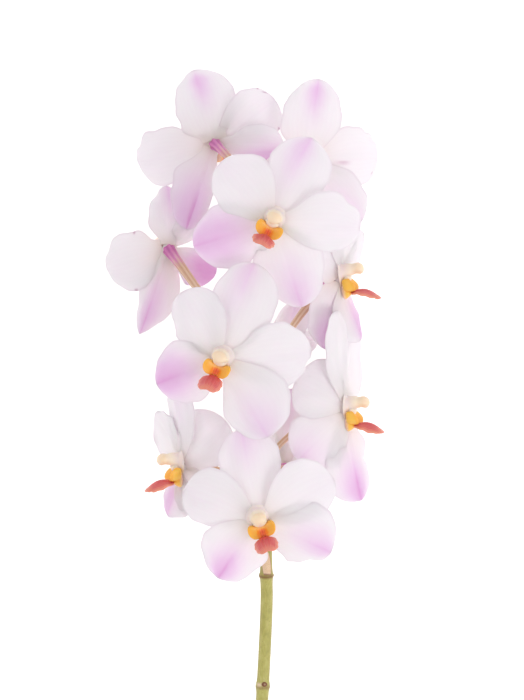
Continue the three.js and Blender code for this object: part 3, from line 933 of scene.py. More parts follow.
@dataclass(frozen=True)
class Tepal:
    """One petal or sepal, in millimetres.

    Attributes:
        name: What it is called.
        blade: Petal or sepal.
        tip: Its tip, from the heart of the bloom.
        half: Its widest half-widths, first on the side that is anticlockwise seen from above.
        wide: Where along it is widest.
        arch: How far its middle is lifted.
        curl: How far its edges are lifted.
        claw: Its half-width at the claw, as a share of the widest.
        faces: What its front looks at, where that isn't what the bloom looks at.
        lilac: How strong the lilac at its tip is.
        aside: How far across, from -1 to 1, the lilac lies.
        spread: How wide the lilac is, as a share of the half-width.
        since: How far along the lilac starts.
        streak: How strong the magenta line along its midline is.
        margin: How white its margin stays.
        crease: How deep the fold along its midline is.
        point: How pointed its tip is, from 0 to 1.
        dents: Notches in its outline: the side, how far along, the depth and the width.
        marks: Small bruises: how far along, how far across and the length along.
    """

    name: str
    blade: Blade
    tip: Vec
    half: tuple[float, float]
    wide: float
    arch: float = 0.0
    curl: float = 0.0
    claw: float | None = None
    faces: Vec | None = None
    lilac: float = 0.0
    aside: float = 0.0
    spread: float = 0.45
    since: float = 0.35
    streak: float = 0.35
    margin: float = 0.0
    crease: float = 0.25
    point: float = 0.0
    dents: tuple[tuple[int, float, float, float], ...] = ()
    marks: tuple[Vec, ...] = ()

    # How high each kind of unevenness is, in millimetres or as a share of the half-width.
    wave: float = 0.6
    folds: float = 0.42
    ruffle: float = 0.45
    scallop: float = 0.012
    root_offset: float = 2.4
    thickness: float = 0.9
    columns: int = 36
    rows: int = 46

    def outline(self, u: Array) -> Array:
        """Half-width at each u: a claw that opens, then a round end.

        Args:
            u: How far along each point is.

        Returns:
            The shares of the widest half-width.
        """
        claw = self.blade.value[1] if self.claw is None else self.claw
        opening = np.sin((math.pi / 2) * np.clip(u / self.wide, 0, 1)) ** 0.92
        past = np.clip((u - self.wide) / (1 - self.wide), 0, 1)
        closing = (1 - past**2.3) ** (0.55 + 0.35 * self.point)
        return np.where(u < self.wide, claw + (1 - claw) * opening, np.maximum(closing, 0.012))

    def surface(self, bloom: Bloom, u: Array, v: Array) -> Array:
        """Points of the blade's middle surface.

        Args:
            bloom: The bloom it belongs to.
            u: How far along each point is, from 0 to 1.
            v: How far across it is, from -1 to 1.

        Returns:
            The points.
        """
        behind = self.blade.value[0]
        tip = bloom.middle + np.array(self.tip, float)
        root = bloom.middle - behind * bloom.forward
        along = tip - root
        outwards = unit(along - bloom.forward * (along @ bloom.forward))
        root = root + outwards * self.root_offset
        along = unit(tip - root)
        faces = np.array(self.faces or bloom.face, float)
        normal = unit(faces - along * (faces @ along))
        side = np.cross(normal, along)
        if side @ np.array([-along[1], along[0], 0.0]) < 0:
            side = -side

        share = np.maximum(self.outline(u), bloom.web * hump(u, 0.0, 0.3))
        half = np.where(v > 0, self.half[0], self.half[1]) * share
        for edge, at, depth, width in self.dents:
            half = half - depth * hump(u, at, width) * smoothstep(0.35, 1.0, edge * v)
        scallop = self.scallop * np.sin(31 * u + bloom.phase) * smoothstep(0.3, 0.6, u)
        half = half * (1.0 + scallop)
        bow = 4 * u * (1 - u)
        lift = self.arch * bow + self.curl * share * v**2
        lift = lift + self.wave * v**2 * share * np.sin(7 * u + 2 * v)
        ruffle = self.ruffle * np.abs(v) ** 5 * np.sin(19 * u + 3 * np.sign(v) + bloom.phase)
        lift = lift + ruffle * smoothstep(0.3, 0.7, u)
        lift = lift - self.crease * hump(v, 0.0, 0.1) * share * smoothstep(0.0, 0.2, u)
        turn = bloom.phase + 1.7 * self.tip[0]
        folds = np.sin(5.2 * v + 2.1 * u + turn) * np.sin(3.3 * u + turn)
        folds = folds + 0.6 * np.sin(8.7 * v - 5.0 * u + 2 * turn) * np.sin(6.1 * u + turn)
        lift = lift + self.folds * folds * share * smoothstep(0.1, 0.35, u)
        middle = root + (tip - root) * u[:, None]
        middle = middle + bloom.forward * (bloom.sink * behind * hump(u, 0.0, 0.25))[:, None]
        return middle + side * (v * half)[:, None] + normal * lift[:, None]

    def flush(self, u: Array, v: Array) -> Array:
        """How lilac each point is: a wedge that widens and deepens towards the tip.

        Args:
            u: How far along each point is.
            v: How far across it is.

        Returns:
            The amounts, from 0 up.
        """
        width = self.spread * (0.75 + 0.75 * u)
        wedge = np.exp(-(((v - self.aside) / width) ** 2))
        rise = smoothstep(self.since - 0.35, self.since + 0.6, u)
        line = hump(v, self.aside * 0.4, 0.07) * smoothstep(0.4, 0.9, u) * self.streak
        rim = np.maximum(smoothstep(0.6, 1.0, np.abs(v)), smoothstep(0.82, 1.0, u))
        return self.lilac * rise * (wedge + line) * (1.0 - self.margin * rim)

    def build(self, bloom: Bloom) -> Piece:
        """Bends a grid into the blade and thickens it.

        Args:
            bloom: The bloom it belongs to.

        Returns:
            The closed mesh.
        """
        piece = start_grid(f"{bloom.name}_{self.name}", self.columns, self.rows)
        flat = corners(piece)
        v = np.sin(flat[:, 0] * math.pi / 2 * 0.96) / math.sin(math.pi / 2 * 0.96)
        u = np.sin((flat[:, 1] + 1) / 2 * math.pi / 2)
        set_points(piece, self.surface(bloom, u, v))
        set_value(piece, "flush", self.flush(u, v))
        set_value(piece, "claw", 0.8 * np.exp(-u / 0.16))
        bruise = sum(hump(u, at, size) * hump(v, across, 0.04) for at, across, size in self.marks)
        set_value(piece, "bruise", bruise)
        # the outer edge, which the material greys as painted shade
        rim = np.maximum(smoothstep(0.9, 1.0, np.abs(v)), smoothstep(0.96, 1.0, u))
        set_value(piece, "rim", rim)
        edge = np.maximum(np.abs(v) ** 6, smoothstep(0.93, 1.0, u))
        thicken(piece, self.thickness, 1.0 - 0.62 * edge)
        return piece


@dataclass
class Bloom:
    """One flower: five tepals, a column, a lip in two pieces and a pedicel to the stem.

    Attributes:
        name: The start of its pieces' names.
        heart: Its heart, where the tepals meet.
        face: What it looks at.
        up: Which way its dorsal sepal points.
        stem_y: Where its pedicel meets the stem.
        pull: How far its pedicel runs straight back.
        tepals: Its five tepals.
        bend: How far the pedicel's bend is moved.
        lip_pitch: How far the midlobe is tipped up, in degrees.
        lip_roll: How far it is turned anticlockwise, seen from in front, in degrees.
        lip_fold: How far its sides hang down, as a share of the usual.
        phase: Where in their wave its ruffled edges start.
    """

    name: str
    heart: Vec
    face: Vec
    up: Vec
    stem_y: float
    pull: float
    tepals: tuple[Tepal, ...]
    bend: Vec = (0.0, 0.0, 0.0)
    lip_pitch: float = 0.0
    lip_roll: float = 0.0
    lip_fold: float = 1.0
    phase: float = 0.0

    tan_by: float = 60.0  # millimetres of flower stalk, by which it is cream
    receptacle: tuple[float, float, float] = (3.9, 2.3, 2.4)  # across, deep, behind
    lip_root: tuple[float, float] = (-8.0, 4.4)  # where the midlobe starts, up and forward
    lip_length: float = 15.0
    lip_thickness: float = 1.3

    def __post_init__(self) -> None:
        """Works out the bloom's own axes."""
        self.middle = np.array(self.heart, float)
        self.forward = unit(self.face)
        up = np.array(self.up, float)
        self.upwards = unit(up - self.forward * (up @ self.forward))
        self.right = np.cross(self.upwards, self.forward)
        # One that is seen from behind has wide claws, a slender column foot and flat tepals.
        looks_away = self.forward[2] < -0.5
        self.web, self.slender, self.sink = (0.42, 0.55, 0.0) if looks_away else (0.0, 0.0, 0.9)

    def place(self, local: Array) -> Array:
        """Turns points in the bloom's own axes (right, up, forward) to the stem's."""
        axes = np.stack([self.right, self.upwards, self.forward])
        return self.middle + local @ axes

    def loft(
        self,
        name: str,
        stations: Sequence[Sequence[float]],
        segments: int,
        rings: int,
        shape: Callable[[Array, Array], Array] | None = None,
    ) -> tuple[Piece, Array, Array]:
        """Draws a ball out through rings along the bloom's forward axis.

        Args:
            name: The piece's name.
            stations: Evenly spaced rings: x, y, z and the two radii.
            segments: Sides round.
            rings: Rings along.
            shape: Gives a factor on the radius for how far along and the angle.

        Returns:
            The piece, and how far along and at what angle each point is.
        """
        piece = start_ball(name, segments, rings)
        along, turn, off_axis = ball_places(piece, rings)
        x, y, z, rx, ry = through(np.array(stations, float), along).T
        factor = off_axis * (shape(along, turn) if shape else 1.0)
        local = np.stack(
            [x + rx * factor * np.cos(turn), y + ry * factor * np.sin(turn), z], axis=1
        )
        set_points(piece, self.place(local))
        return piece, along, turn

    def build_perianth(self, finish: Material) -> Piece:
        """Builds the five tepals and the button where they meet.

        Args:
            finish: The petal's material.

        Returns:
            The finished piece.
        """
        across, deep, behind = self.receptacle
        stations = [
            (0, 0, -behind + deep * share, *([0.78 * across * math.sqrt(1 - share**2)] * 2))
            for share in (-0.96, -0.7, -0.3, 0.2, 0.6, 0.85)
        ]
        button, _, _ = self.loft(f"{self.name}_button", stations, 24, 14)
        for name, value in (("flush", 0.0), ("claw", 0.5), ("rim", 0.0), ("bruise", 0.0)):
            set_value(button, name, value)
        blades = [tepal.build(self) for tepal in self.tepals]
        piece = join(f"{self.name}_tepals", [*blades, button])
        return dress(piece, f"{self.name}_perianth", finish)

    def build_column(self, finish: Material) -> Piece:
        """Builds the column: a broad foot, a neck and the round cap with its beak.

        Args:
            finish: The column's material.

        Returns:
            The finished piece.
        """
        stations = (
            (0, 1.6, 0.4, 1.8, 1.8),
            (0, 1.8, -0.2, 4.5, 4.3),
            (0, 1.9, -0.8, 6.7, 6.4),
            (0, 2.0, -0.6, 6.8, 6.5),
            (0, 2.1, 0.0, 5.9, 5.6),
            (0, 2.4, 0.8, 5.2, 4.9),
            (0, 2.7, 1.6, 4.8, 4.5),
            (0, 3.0, 2.6, 4.6, 4.3),
            (0, 3.3, 3.8, 4.4, 4.0),
            (0, 3.6, 5.0, 4.1, 3.6),
            (0, 3.8, 6.2, 3.8, 3.1),
            (0, 4.1, 7.4, 3.8, 2.9),
            (0, 4.2, 8.6, 4.0, 3.0),
            (0, 4.1, 10.0, 3.8, 2.9),
            (0, 3.9, 11.4, 2.8, 2.2),
            (0, 3.7, 12.1, 1.0, 0.9),
        )

        def shape(along: Array, turn: Array) -> Array:
            """A hollow under the neck, a beak below the cap and a faint crease over it."""
            under = hump(turn, -math.pi / 2, 0.5)
            hollow = -0.2 * under * hump(along, 0.6, 0.07)
            beak = 0.16 * under * hump(along, 0.88, 0.06)
            crease = -0.05 * hump(np.abs(turn), math.pi / 2, 0.16) * smoothstep(0.7, 0.85, along)
            foot = -self.slender * hump(along, 0.16, 0.13)
            return 1.0 + hollow + beak + crease + foot

        post, along, _ = self.loft(f"{self.name}_waxy_column", stations, 40, 44, shape)
        set_value(post, "along", along)
        chin = (
            (0, -0.2, 0.6, 2.6, 1.8),
            (0, -0.1, 1.9, 3.8, 2.5),
            (0, 0.0, 3.2, 3.8, 2.4),
            (0, -0.1, 4.4, 2.9, 2.0),
            (0, 0.1, 5.1, 1.2, 0.9),
        )
        bridge, _, _ = self.loft(f"{self.name}_chin", chin, 28, 16)
        set_value(bridge, "along", 0.6)
        piece = join(f"{self.name}_waxy_column", [post, bridge])
        return dress(piece, f"{self.name}_column", finish)

    def build_side_lobes(self, finish: Material) -> Piece:
        """Builds the lip's cup with its two upright lobes, and the short spur behind it.

        Args:
            finish: The cup's material.

        Returns:
            The finished piece.
        """
        half_rim = np.array(
            [[0.0, -7.0, 4.9], [2.3, -7.7, 6.0], [4.7, -7.3, 6.8], [6.5, -5.7, 7.2],
             [7.3, -3.7, 6.6], [7.2, -1.9, 5.2], [6.2, -0.7, 4.0], [4.6, -1.0, 3.4],
             [2.8, -1.8, 3.0], [0.0, -2.4, 2.8]]
        )
        rim = np.concatenate([half_rim[:0:-1] * (-1, 1, 1), half_rim])
        profile = np.array(
            [[0.0, 0.0, 2.6], [0.25, 0.1, 2.2], [0.5, 0.35, 1.5], [0.74, 0.68, 0.8],
             [0.93, 0.93, 0.15], [1.0, 0.96, 0.0], [1.0, 0.76, 0.0], [0.96, 0.5, 0.0],
             [0.88, 0.25, 0.0], [0.65, 0.06, 0.0], [0.0, 0.0, -0.2]]
        )
        throat = np.array([0.0, -4.1])
        cup = start_ball(f"{self.name}_cup", 96, 48)
        t, turn, _ = ball_places(cup, 48)
        edge = through(rim, turn / (2 * math.pi) + 0.5)
        reach, climb, level = through(profile, t).T
        x = edge[:, 0] * reach
        y = throat[1] + (edge[:, 1] - throat[1]) * reach
        swell = 0.8 * np.sin(math.pi * np.clip(t / 0.5, 0, 1)) * smoothstep(1.2, 3.0, np.abs(x))
        z = edge[:, 2] * climb + level + swell
        set_points(cup, self.place(np.stack([x, y, z], axis=1)))
        inside = smoothstep(0.64, 0.54, t)
        front = smoothstep(-4.8, -6.6, y)
        shown = np.maximum(inside, front)
        red = hump(x, 0.0, 2.5) * smoothstep(-2.6, -5.4, y) * shown
        lines = 0.5 * smoothstep(0.2, 0.9, np.cos(x * math.pi / 0.6))
        lines = lines * hump(x, 0.0, 1.9) * smoothstep(-2.6, -5.0, y)
        set_value(cup, "throat", np.maximum(red, 0.12 * inside))
        set_value(cup, "stripes", lines * shown)
        pale = 0.4 * smoothstep(-4.4, -2.6, y) * hump(x, 0.0, 3.2) * inside
        set_value(cup, "foot", np.maximum(0.1 * smoothstep(0.75, 1.0, t), pale))

        stations = (
            (0, -6.8, -0.7, 1.8, 3.2),
            (0, -7.0, 0.1, 2.9, 4.2),
            (0, -7.6, 1.2, 3.3, 3.4),
            (0, -8.1, 2.4, 3.2, 2.2),
            (0, -8.0, 3.6, 2.6, 1.4),
            (0, -7.9, 4.6, 1.6, 0.7),
        )
        spur, along, _ = self.loft(
            f"{self.name}_spur",
            stations,
            32,
            20,
            lambda along, _: 1.0 - 0.8 * self.slender * hump(along, 0.0, 0.5),
        )
        set_value(spur, "throat", 0.3 * smoothstep(0.6, 1.0, along))
        set_value(spur, "stripes", 0.0)
        set_value(spur, "foot", smoothstep(0.55, 0.0, along))
        piece = join(f"{self.name}_lip_cup", [cup, spur])
        return dress(piece, f"{self.name}_side_lobes", finish)

    def build_midlobe(self, finish: Material) -> Piece:
        """Builds the lip's midlobe: a ridged blade whose sides hang down like a saddle's.

        Args:
            finish: The midlobe's material.

        Returns:
            The finished piece.
        """
        piece = start_grid(f"{self.name}_coral_lip", 40, 44)
        flat = corners(piece)
        v, u = flat[:, 0], (flat[:, 1] + 1) / 2
        line = through(
            np.array(
                [[-8.5, 3.2, 0.8], [-8.0, 5.4, 1.8], [-7.7, 6.1, 3.0], [-8.0, 6.0, 3.8],
                 [-9.0, 5.5, 3.4], [-10.3, 4.8, 2.3], [-11.7, 3.6, 1.0]]
            ),
            u,
        )
        ridge, half, drop = line.T
        notch = (0.5 * hump(v, 0.0, 0.2) + 1.5 * v**4) * smoothstep(0.75, 1.0, u)
        keels = 0.6 * hump(v * half, 0.0, 0.5) + 0.4 * hump(np.abs(v * half), 1.6, 0.45)
        keels = keels * smoothstep(0.0, 0.12, u) * smoothstep(1.0, 0.6, u)
        ruffle = 0.2 * np.abs(v) ** 3 * np.sin(19 * u + self.phase)
        x = v * half * (1.0 + 0.02 * np.sin(25 * u + self.phase))
        root_up, root_forward = self.lip_root
        rise = ridge - self.lip_fold * drop * np.abs(v) ** 1.9 + keels + ruffle - root_up
        reach = self.lip_length * u - notch
        pitch, roll = math.radians(self.lip_pitch), math.radians(self.lip_roll)
        z = root_forward + reach * math.cos(pitch) - rise * math.sin(pitch)
        rise = rise * math.cos(pitch) + reach * math.sin(pitch)
        y = root_up + rise * math.cos(roll) + x * math.sin(roll)
        x = x * math.cos(roll) - rise * math.sin(roll)
        set_points(piece, self.place(np.stack([x, y, z], axis=1)))
        set_value(piece, "rim", np.maximum(np.abs(v) ** 2, 0.8 * smoothstep(0.4, 1.0, u)))
        edge = np.maximum(np.abs(v) ** 5, smoothstep(0.9, 1.0, u))
        thicken(piece, self.lip_thickness, 1.0 - 0.6 * edge)
        return dress(piece, f"{self.name}_midlobe", finish)

    def build_pedicel(self, stem: Stem, finish: Material) -> Piece:
        """Draws a ball out along the flower stalk, with six twisting ridges.

        Args:
            stem: The stem that it grows from.
            finish: The stalk's material.

        Returns:
            The finished piece.
        """
        _, deep, behind = self.receptacle
        back = self.place(np.array([0.0, 0.0, -(behind + deep * 0.6)]))
        straight = self.place(np.array([0.0, 0.0, -(behind + deep + GAP + self.pull)]))
        leave = straight + np.array(self.bend)
        end = stem.points(self.stem_y)[0]
        ahead = stem.points(self.stem_y + 16.0)[0]
        arrive = ahead + (leave - ahead) * 0.3
        piece = start_ball(f"{self.name}_flower_stalk", 36, 60)
        along, turn, off_axis = ball_places(piece, 60)

        def curve(t: Array) -> Array:
            """Points of the stalk's axis."""
            t = t[:, None]
            return (
                back * (1 - t) ** 3
                + leave * 3 * t * (1 - t) ** 2
                + arrive * 3 * t**2 * (1 - t)
                + end * t**3
            )

        radius = through(np.array([[3.1], [2.4], [2.05], [1.8], [1.65], [1.65], [1.75]]), along)
        twist = 6 * turn + 5.0 * along
        ridged = 1.0 + 0.1 * np.cos(twist) * smoothstep(1.0, 0.4, along)
        sweep(piece, curve, along, 1e-3, turn, radius[:, 0] * ridged * off_axis)
        sampled = curve(np.linspace(0.0, 1.0, 200))
        length = np.linalg.norm(np.diff(sampled, axis=0), axis=1).sum()
        set_value(piece, "along", along * length / self.tan_by)
        # how far into a groove each point is, where the material paints shade
        set_value(piece, "groove", 0.5 - 0.5 * np.cos(twist))
        return dress(piece, f"{self.name}_pedicel", finish)

    def build(self, stem: Stem, finishes: Finishes) -> None:
        """Builds all five pieces of the bloom.

        Args:
            stem: The stem that it grows from.
            finishes: Every finish of the spray.
        """
        self.build_perianth(finishes.petal)
        self.build_column(finishes.column)
        self.build_side_lobes(finishes.lobes)
        self.build_midlobe(finishes.midlobe)
        self.build_pedicel(stem, finishes.pedicel)


PETAL, SEPAL = Blade.PETAL, Blade.SEPAL

BLOOMS = (
    Bloom(
        "top_left", (-22, 360.7, 23), (-0.12, 0.1, -0.98), (-0.27, 0.96, 0), 325, 14,
        (
            Tepal("dorsal", SEPAL, (-11, 39, -7), (14.3, 18), 0.52, -1.5, 1.5,
                  lilac=0.62, aside=-0.05, spread=0.3, since=0.5, margin=0.9,
                  dents=((1, 0.92, 1.3, 0.06), (1, 0.45, -1.6, 0.12), (1, 0.2, -4.5, 0.12))),
            Tepal("petal_l", PETAL, (-40.5, -9, -22.8), (15, 16.3), 0.64, -7, 0, lilac=0.06,
                  dents=((-1, 0.3, -2.6, 0.14), (-1, 0.6, 1.2, 0.08), (-1, 0.86, 4.4, 0.1))),
            Tepal("petal_r", PETAL, (32, 23.5, -9), (15.5, 15), 0.62, -3, 0, lilac=0.05,
                  marks=((0.93, 0.74, 0.03), (0.87, 0.93, 0.012), (0.8, -0.94, 0.012)),
                  dents=((1, 0.8, 1.2, 0.12), (-1, 0.92, -2.6, 0.1))),
            Tepal("sepal_l", SEPAL, (-14.7, -45.2, 8), (7.8, 14.3), 0.6, -1.5, 2,
                  lilac=0.52, aside=-0.05, spread=0.8, since=0.25, streak=1.9, crease=-0.5,
                  dents=((-1, 0.36, -3.4, 0.13), (-1, 0.83, 1.5, 0.12))),
            Tepal("sepal_r", SEPAL, (36.8, -2.1, 1), (12, 8), 0.6, -1, 1,
                  lilac=0.65, aside=-0.8, spread=0.7, since=0.2,
                  dents=((1, 0.2, 2, 0.12), (-1, 0.45, 1.4, 0.12), (-1, 0.87, 4.4, 0.1))),
        ),
        phase=0.4,
    ),
    Bloom(
        "top_right", (27.3, 352.8, 24), (0.08, 0.1, -0.99), (0.13, 0.99, 0), 317, 14,
        (
            Tepal("dorsal", SEPAL, (5.8, 42, 2), (16.3, 14.4), 0.5, -1.5, 1,
                  lilac=0.68, spread=0.3, since=0.55, margin=0.6, crease=-0.4,
                  dents=((1, 0.83, 1.2, 0.12), (1, 0.22, -3.2, 0.15), (-1, 0.45, -1, 0.15))),
            Tepal("petal_l", PETAL, (-26, -7, -16), (11, 8), 0.6, -4, 0),
            Tepal("petal_r", PETAL, (36.8, 1, -24), (18, 14), 0.58, -7, 0, lilac=0.05,
                  marks=((0.36, -0.12, 0.08), (0.85, -0.7, 0.012)),
                  dents=((1, 0.32, -2.6, 0.12), (1, 0.72, 3, 0.12), (1, 0.9, 2, 0.07))),
            Tepal("sepal_l", SEPAL, (-12, -40, -4), (12, 12), 0.58, -1, 2, lilac=0.5),
            Tepal("sepal_r", SEPAL, (27.8, -33.6, -3), (13, 13), 0.6, -1, 2, lilac=0.25,
                  dents=((1, 0.42, -2, 0.15), (1, 0.93, 1, 0.08))),
        ),
        phase=2.1,
    ),
    Bloom(
        "upper_front", (8.9, 319.2, 84), (-0.12, -0.22, 0.97), (0.42, 0.9, 0), 286, 16,
        (
            Tepal("dorsal", SEPAL, (20.5, 43.6, -8), (15, 17.5), 0.64, 1, -1.5,
                  lilac=0.4, aside=0.2, spread=0.35, since=0.4, point=0.4,
                  dents=((1, 0.62, -1, 0.12),)),
            Tepal("petal_l", PETAL, (-27.3, 31, -4), (17.3, 19), 0.56, 2, -1, lilac=0.05,
                  dents=((1, 0.85, 1.4, 0.08), (1, 0.66, 1.8, 0.12), (1, 0.3, 1.8, 0.15),
                         (-1, 0.87, 1.8, 0.1))),
            Tepal("petal_r", PETAL, (45.7, -3.2, -5), (18.5, 14), 0.6, 2, -1, lilac=0.05,
                  dents=((1, 0.2, 2.5, 0.12), (1, 0.83, 2.8, 0.07), (1, 0.97, -0.8, 0.04))),
            Tepal("sepal_l", SEPAL, (-41.5, -13.1, -14), (18.6, 17.6), 0.5, 0.5, -2,
                  lilac=0.6, aside=-0.05, spread=0.7, since=0.15, crease=0.5,
                  dents=((1, 0.14, -2.5, 0.07), (-1, 0.8, 2.2, 0.15), (1, 0.3, 1.8, 0.1))),
            Tepal("sepal_r", SEPAL, (15.2, -44.6, -16), (19.6, 14.4), 0.52, 0.5, -2,
                  lilac=0.4, since=0.4,
                  dents=((-1, 0.45, -5.5, 0.12), (-1, 0.28, -3, 0.1), (-1, 0.62, 2.6, 0.12),
                         (1, 0.73, 2.4, 0.16))),
        ),
        lip_pitch=10,
        lip_fold=0.7,
        phase=1.0,
    ),
    Bloom(
        "left_back", (-47.3, 305, 27), (-0.3, -0.05, -0.95), (0, 1, 0), 226, 9,
        (
            Tepal("dorsal", SEPAL, (0, 33.6, -12), (10, 10), 0.55, -1, 2,
                  lilac=0.4, aside=-0.3, since=0.45,
                  dents=((1, 0.84, 2.4, 0.12), (1, 0.28, -2.6, 0.15))),
            Tepal("petal_l", PETAL, (-31.5, -10, -8), (16, 15.5), 0.56, -4, 0, lilac=0.04,
                  marks=((0.59, 0.95, 0.022), (0.33, -0.95, 0.014)),
                  dents=((-1, 0.22, -3.4, 0.12), (-1, 0.86, 3.1, 0.11), (1, 0.85, 0.8, 0.1))),
            Tepal("petal_r", PETAL, (24.2, 19.4, -9), (10, 5), 0.55, -1, 1, lilac=0.1),
            Tepal("sepal_l", SEPAL, (-14.2, -44.6, -5), (14.5, 7), 0.5, -1, 4,
                  lilac=0.48, since=0.2, streak=1.0, crease=-0.5, point=0.8,
                  dents=((-1, 0.7, 1.7, 0.14), (1, 0.88, 1.3, 0.1))),
            Tepal("sepal_r", SEPAL, (25.7, -13.7, -3), (8, 9), 0.55, -1, 2,
                  lilac=1.2, spread=0.9, since=0.3, point=0.3,
                  dents=((-1, 0.85, -2.4, 0.12), (-1, 0.58, -2.6, 0.15), (1, 0.95, -1.6, 0.08))),
        ),
        bend=(3, -9, 0),
        phase=3.0,
    ),
    Bloom(
        "upper_right", (45.2, 289.8, 47), (0.97, 0.12, 0.15), (-0.1, 1, 0), 230, 12,
        (
            Tepal("dorsal", SEPAL, (7, 27, -4), (13, 13), 0.6, 0, -2, faces=(0.9, -0.1, 0.42)),
            Tepal("petal_l", PETAL, (-12.6, 20, 10), (11, 11), 0.6, 0, -1, faces=(0.5, 0, 0.86),
                  dents=((1, 0.04, -7, 0.2),)),
            Tepal("petal_r", PETAL, (11.5, 23.5, -20), (11, 11), 0.6, 0, -1,
                  faces=(0.93, 0, 0.3),
                  dents=((-1, 0.88, -1.2, 0.05), (-1, 0.72, 0.8, 0.05))),
            Tepal("sepal_l", SEPAL, (-9, -37.3, 0), (12, 14), 0.55, 0, -5, 0.1, (0.6, 0, 0.8),
                  lilac=0.55, aside=-0.1, spread=0.4, streak=1.3, crease=0.6,
                  dents=((-1, 0.04, -6, 0.16), (-1, 0.58, 3.2, 0.16), (-1, 0.88, 3.8, 0.14))),
            Tepal("sepal_r", SEPAL, (10, -32.5, -14), (11, 13), 0.5, 0, -3, None, (0.8, 0.1, 0.5),
                  lilac=0.6, aside=0.5, since=0.2,
                  dents=((1, 0.5, -1.5, 0.2),)),
        ),
        bend=(0, -8, -9),
        lip_pitch=-4,
        lip_fold=0.65,
        phase=4.0,
    ),
    Bloom(
        "middle_front", (-18.4, 246.8, 84), (-0.22, -0.24, 0.94), (0.36, 0.93, 0), 213, 16,
        (
            Tepal("dorsal", SEPAL, (18.0, 50.4, -3), (16.7, 18.5), 0.6, 1, -1.5,
                  lilac=0.35, aside=0.2, spread=0.35, since=0.5,
                  dents=((1, 0.77, 1.2, 0.12),)),
            Tepal("petal_l", PETAL, (-20, 35.7, -5), (15.5, 16.5), 0.6, 2, -1, lilac=0.04,
                  dents=((1, 0.7, 3, 0.08), (1, 0.86, 1.9, 0.1), (1, 0.6, 1.2, 0.05))),
            Tepal("petal_r", PETAL, (47.3, 4.2, -6), (18, 17), 0.64, 2, -1, lilac=0.03,
                  dents=((1, 0.22, 2.5, 0.12), (1, 0.84, 1.9, 0.1), (-1, 0.95, 4.2, 0.035),
                         (-1, 0.87, 1.3, 0.06))),
            Tepal("sepal_l", SEPAL, (-33.6, -12.6, -10), (15.8, 17.9), 0.55, 0.5, -2,
                  lilac=0.75, aside=-0.05, spread=0.6, since=0.3, crease=0.4,
                  dents=((-1, 0.75, 2.3, 0.12), (-1, 0.92, 2.3, 0.08), (1, 0.42, -1.7, 0.2))),
            Tepal("sepal_r", SEPAL, (24.7, -40.4, -9), (24, 14.7), 0.62, 0.5, -2,
                  lilac=0.32, since=0.4,
                  dents=((1, 0.78, 2.5, 0.15), (-1, 0.2, 3.2, 0.12), (-1, 0.36, 1.2, 0.08),
                         (-1, 0.57, -1, 0.06))),
        ),
        lip_roll=6,
        phase=5.0,
    ),
    Bloom(
        "lower_right", (47.8, 220.5, 50), (0.97, 0.02, 0.22), (-0.05, 1, 0), 189, 12,
        (
            Tepal("dorsal", SEPAL, (-5, 52, 6), (11.5, 12.5), 0.6, 0, -2, faces=(0.85, 0.1, 0.5),
                  dents=((1, 0.95, -1.5, 0.06), (1, 0.58, 1.3, 0.15))),
            Tepal("petal_l", PETAL, (-27.3, 14.7, 6), (14.8, 18.5), 0.6, 3, -2, 0.1,
                  (0.2, 0.1, 0.97)),
            Tepal("petal_r", PETAL, (4.2, 47.3, -26), (14, 16), 0.45, 0, -1,
                  faces=(0.9, 0.4, 0.2),
                  dents=((-1, 0.35, -1.8, 0.2),)),
            Tepal("sepal_l", SEPAL, (-25.7, -26.3, 3), (18, 17), 0.6, 2, -2, 0.12,
                  (0.2, -0.2, 0.95), lilac=0.3, since=0.5, spread=0.6,
                  dents=((-1, 0.82, 1.4, 0.12),)),
            Tepal("sepal_r", SEPAL, (7.6, -47.6, -13), (10, 17), 0.65, 1, -3, None,
                  (0.55, -0.1, 0.8), lilac=0.8, since=0.5, spread=0.45, streak=0.9, crease=0.6,
                  dents=((1, 0.38, -3, 0.12), (1, 0.58, 1.4, 0.05))),
        ),
        bend=(0, -4, -14),
        phase=0.9,
    ),
    Bloom(
        "lower_left", (-39.9, 191.1, 50), (-0.97, -0.06, 0.22), (0.02, 1, 0), 160, 16,
        (
            Tepal("dorsal", SEPAL, (-2.6, 45.2, 2), (11, 13), 0.7, 0, -2,
                  faces=(-0.85, 0.1, 0.5), lilac=0.15,
                  dents=((1, 0.35, -4.4, 0.2), (1, 0.66, -3, 0.15))),
            Tepal("petal_l", PETAL, (-13.1, 27.8, -22), (12, 12), 0.6, faces=(-0.9, 0.1, 0.3),
                  dents=((-1, 0.93, 3, 0.1), (-1, 0.75, 2, 0.1), (1, 0.58, -2.8, 0.15))),
            Tepal("petal_r", PETAL, (23.6, 24.2, 4), (16, 15), 0.6, 2, -1,
                  faces=(-0.2, 0.1, 0.97),
                  dents=((-1, 0.05, -6, 0.16), (-1, 0.42, -2.2, 0.15))),
            Tepal("sepal_l", SEPAL, (-6.2, -26.8, -14), (12, 11), 0.6, 0, -2, None,
                  (-0.75, 0, 0.66), lilac=0.5, aside=-0.4, since=0.15,
                  dents=((1, 0.93, 2.6, 0.1), (-1, 0.92, -1.2, 0.06))),
            Tepal("sepal_r", SEPAL, (9.5, -25.7, 0), (12, 12), 0.6, 0, -2, None, (-0.5, 0, 0.86),
                  dents=((1, 0.04, -5, 0.16),)),
        ),
        tan_by=30.0,
        phase=2.6,
    ),
    Bloom(
        "bottom_front", (1.6, 162.8, 70), (0.1, -0.3, 0.95), (-0.28, 0.96, 0), 135, 12,
        (
            Tepal("dorsal", SEPAL, (-9.5, 47.8, -5), (15, 17.7), 0.65, 1, -1.5,
                  lilac=0.35, since=0.55,
                  dents=((1, 0.9, 0.6, 0.06), (-1, 0.8, 0.5, 0.08))),
            Tepal("petal_l", PETAL, (-39.9, 14.7, -6), (12.5, 19), 0.62, 2, -1, lilac=0.05,
                  dents=((1, 0.8, -0.6, 0.05), (-1, 0.1, 1, 0.08))),
